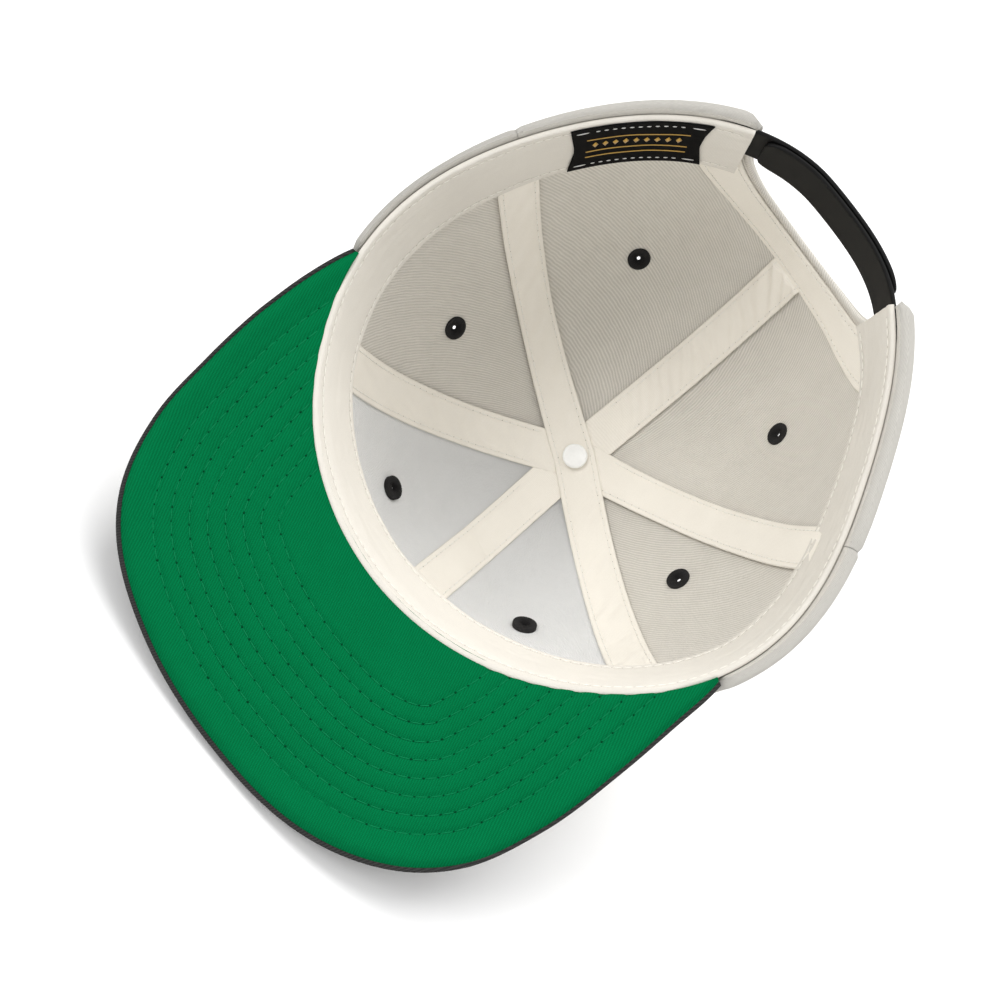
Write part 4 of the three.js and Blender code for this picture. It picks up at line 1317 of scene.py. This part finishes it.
def strapStrip(t, aside, lift, outer):  # the free end is rounded
    fromEnd = (1 - t if outer else t) * (pocketAngle + freeEnd) * rimReach(pi)
    squeeze = 1
    if fromEnd < strap["corner"]:
        squeeze = mix(strap["endShare"], 1, sqrt(1 - (1 - fromEnd / strap["corner"]) ** 2))
    return strapPoint(t, aside * squeeze, lift, outer)


for name, outer in (("strap_outer", True), ("strap_inner", False)):
    mesh = strip(strap["columns"], strap["rows"], strap["length"], strap["width"], strap["thick"],
                 lambda t, aside, lift, outer=outer: strapStrip(t, aside, lift, outer))
    piece = addPiece(name + "_plastic", mesh, strapPlastic, [name])
    for k in range(strap["studs"] if outer else 0):
        cutBy(piece, boreCutter(degrees(studAngle(k)), strap["top"] + strap["width"] / 2, strap["hole"]))


def spun(outline, where, turn, steps=48):  # outline rows are (radius, height)
    bm = bmesh.new()
    verts = [bm.verts.new((radius * mm, 0, height * mm)) for radius, height in outline]
    edges = [bm.edges.new(pair) for pair in zip(verts, verts[1:])]
    bmesh.ops.spin(bm, geom=verts + edges, cent=(0, 0, 0), axis=(0, 0, 1), angle=2 * pi, steps=steps,
                   use_duplicate=False)
    bmesh.ops.remove_doubles(bm, verts=bm.verts, dist=1e-7)
    bmesh.ops.recalc_face_normals(bm, faces=bm.faces)
    laid = Matrix.Translation(where) @ turn.to_matrix().to_4x4()
    bmesh.ops.transform(bm, verts=bm.verts, matrix=laid)
    return bm


neck, head = strap["neck"] / 2, strap["head"] / 2
reach = strap["thick"] + 2 * clear
headTop = reach + strap["headThick"]
studOutline = [
    (0, -strap["neckUnder"]), (neck, -strap["neckUnder"]), (neck, reach), (head - strap["headRound"], reach),
    (head, reach + 0.3), (head - 0.2, headTop - strap["headRound"]), (head - 0.6, headTop),
    (0, headTop + strap["headDome"]),
]
for k in range(strap["studs"]):
    t = (studAngle(k) - pi + freeEnd) / (pocketAngle + freeEnd)
    foot, over = strapPoint(t, 0, strap["thick"], False), strapPoint(t, 0, strap["thick"] + 1, False)
    mesh = spun(studOutline, foot, (over - foot).to_track_quat("Z", "Y"), 28)
    addPiece("strap_stud_" + str(k + 1), mesh, strapPlastic, ["strap_inner"])
print("straps ready")


# Eyelets
def eyeletMesh(angle, depth, front):
    inner = eyelet["innerFront"] if front else eyelet["inner"]
    where, normal = eyeletAxes(angle, depth)
    turn = normal.to_track_quat("Z", "Y")
    outer = skin + eyelet["proud"]
    wide, hole, flare = eyelet["width"] / 2, eyelet["hole"] / 2, eyelet["flare"] / 2
    arc = [pi * i / eyelet["arcSteps"] for i in range(eyelet["arcSteps"] + 1)]
    high = eyelet["high"] * eyelet["curve"]
    profile = [(mix(flare, wide, (1 - cos(a)) / 2), inner - high * sin(a)) for a in arc]
    profile += [(mix(wide, flare, (1 - cos(a)) / 2), outer + high * sin(a)) for a in arc]
    profile += [(hole, (inner + outer) / 2), (flare, inner)]
    bm = spun(profile, Vector((0, 0, 0)), turn, 4 * eyelet["strands"])
    back = turn.to_matrix().transposed()
    for vert in bm.verts:
        local = back @ vert.co / mm
        radius = hypot(local.x, local.y)
        if flare - 0.1 < radius < wide + 0.1:
            a = atan2(local.y, local.x)
            local.z += eyelet["strandHigh"] * cos(a * eyelet["strands"]) * (1 if local.z > 1.2 else -1)
        vert.co = turn.to_matrix() @ (local * mm) + where
    bmesh.ops.recalc_face_normals(bm, faces=bm.faces)
    return bm


for name, angle, depth in eyelet["places"]:
    addPiece("eyelet_" + name + "_thread", eyeletMesh(angle, depth, "front" in name), blackThread,
             ["eyelet_" + name])
print("eyelets ready")

# Button and its backing
button = {
    "width": 14.5, "high": 4.2, "backing": 9.6, "backThick": 1.5, "backGap": 0.6, "bevel": 0.5,
    "shank": 4, "rootUnder": 1.5, "edgeHigh": 0.9, "domeSteps": 10, "steps": 64,
    "dish": 0.2, "dishEdge": 1.2,  # the face of the backing is sunk a little inside its rim
}
topNormal = Vector((0, 0, -1))
top = Vector((0, 0, -crown["depth"]))
topTurn = (restTurn @ topNormal).to_track_quat("Z", "Y")
half = button["width"] / 2
shank = button["shank"] / 2
root = -skin - button["rootUnder"]
dome = [(0, root), (shank, root), (shank, clear), (half - 0.6, clear), (half, button["edgeHigh"])]
for i in range(1, button["domeSteps"] + 1):
    turn = pi / 2 * i / button["domeSteps"]
    dome.append((half * cos(turn), mix(button["edgeHigh"], button["high"], sin(turn))))
mesh = spun(dome, place(top + topNormal * skin), topTurn, button["steps"])
addPiece("button_cloth", mesh, twill, ["button"])
foot = -tape["thick"] - 2 * clear - button["backGap"]
face = foot - button["backThick"]
radius, bevel = button["backing"] / 2, button["bevel"]
disc = [
    (0, foot), (radius - bevel, foot), (radius, foot - bevel), (radius, face + bevel), (radius - bevel, face),
    (radius - button["dishEdge"], face), (radius - button["dishEdge"] - 0.3, face + button["dish"]),
    (0, face + button["dish"]),
]
mesh = spun(disc, place(top), topTurn, button["steps"])
addPiece("button_backing_disc", mesh, discMetal, ["button_backing"])
print("button ready")

# Floor, light and view
floorLook = {"size": 6.0, "color": (0.93, 0.93, 0.93)}
roomStrength = 0.8
lights = [
    {"name": "main light", "strength": 1.8, "angle": 45, "toward": (0.12, -0.33, -1)},
    {"name": "light from the back", "strength": 0.4, "angle": 60, "toward": (-0.5, -0.85, -0.6)},
    {"name": "light from the front", "strength": 1.0, "angle": 30, "toward": (0.55, 0.65, -0.55)},
]
bm = bmesh.new()
bmesh.ops.create_grid(bm, x_segments=1, y_segments=1, size=floorLook["size"])
data = bpy.data.meshes.new("floor")
bm.to_mesh(data)
bm.free()
floorMaterial, _, floorShader = newMaterial("white floor", 1.0)
floorShader.inputs["Base Color"].default_value = (*floorLook["color"], 1)
floorShader.inputs["Specular IOR Level"].default_value = 0.0
data.materials.append(floorMaterial)
floorPiece = bpy.data.objects.new("floor", data)
bpy.context.scene.collection.objects.link(floorPiece)
floorPiece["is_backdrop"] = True

world = bpy.data.worlds.new("white room")
world.use_nodes = True
world.node_tree.nodes["Background"].inputs["Color"].default_value = (1, 1, 1, 1)
world.node_tree.nodes["Background"].inputs["Strength"].default_value = roomStrength
bpy.context.scene.world = world

for light in lights:
    data = bpy.data.lights.new(light["name"], "SUN")
    data.energy = light["strength"]
    data.angle = radians(light["angle"])
    made = bpy.data.objects.new(light["name"], data)
    made.rotation_mode = "QUATERNION"
    made.rotation_quaternion = (-Vector(light["toward"])).to_track_quat("Z", "Y")
    bpy.context.scene.collection.objects.link(made)
bpy.context.scene.view_settings.view_transform = "Standard"

low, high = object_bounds()
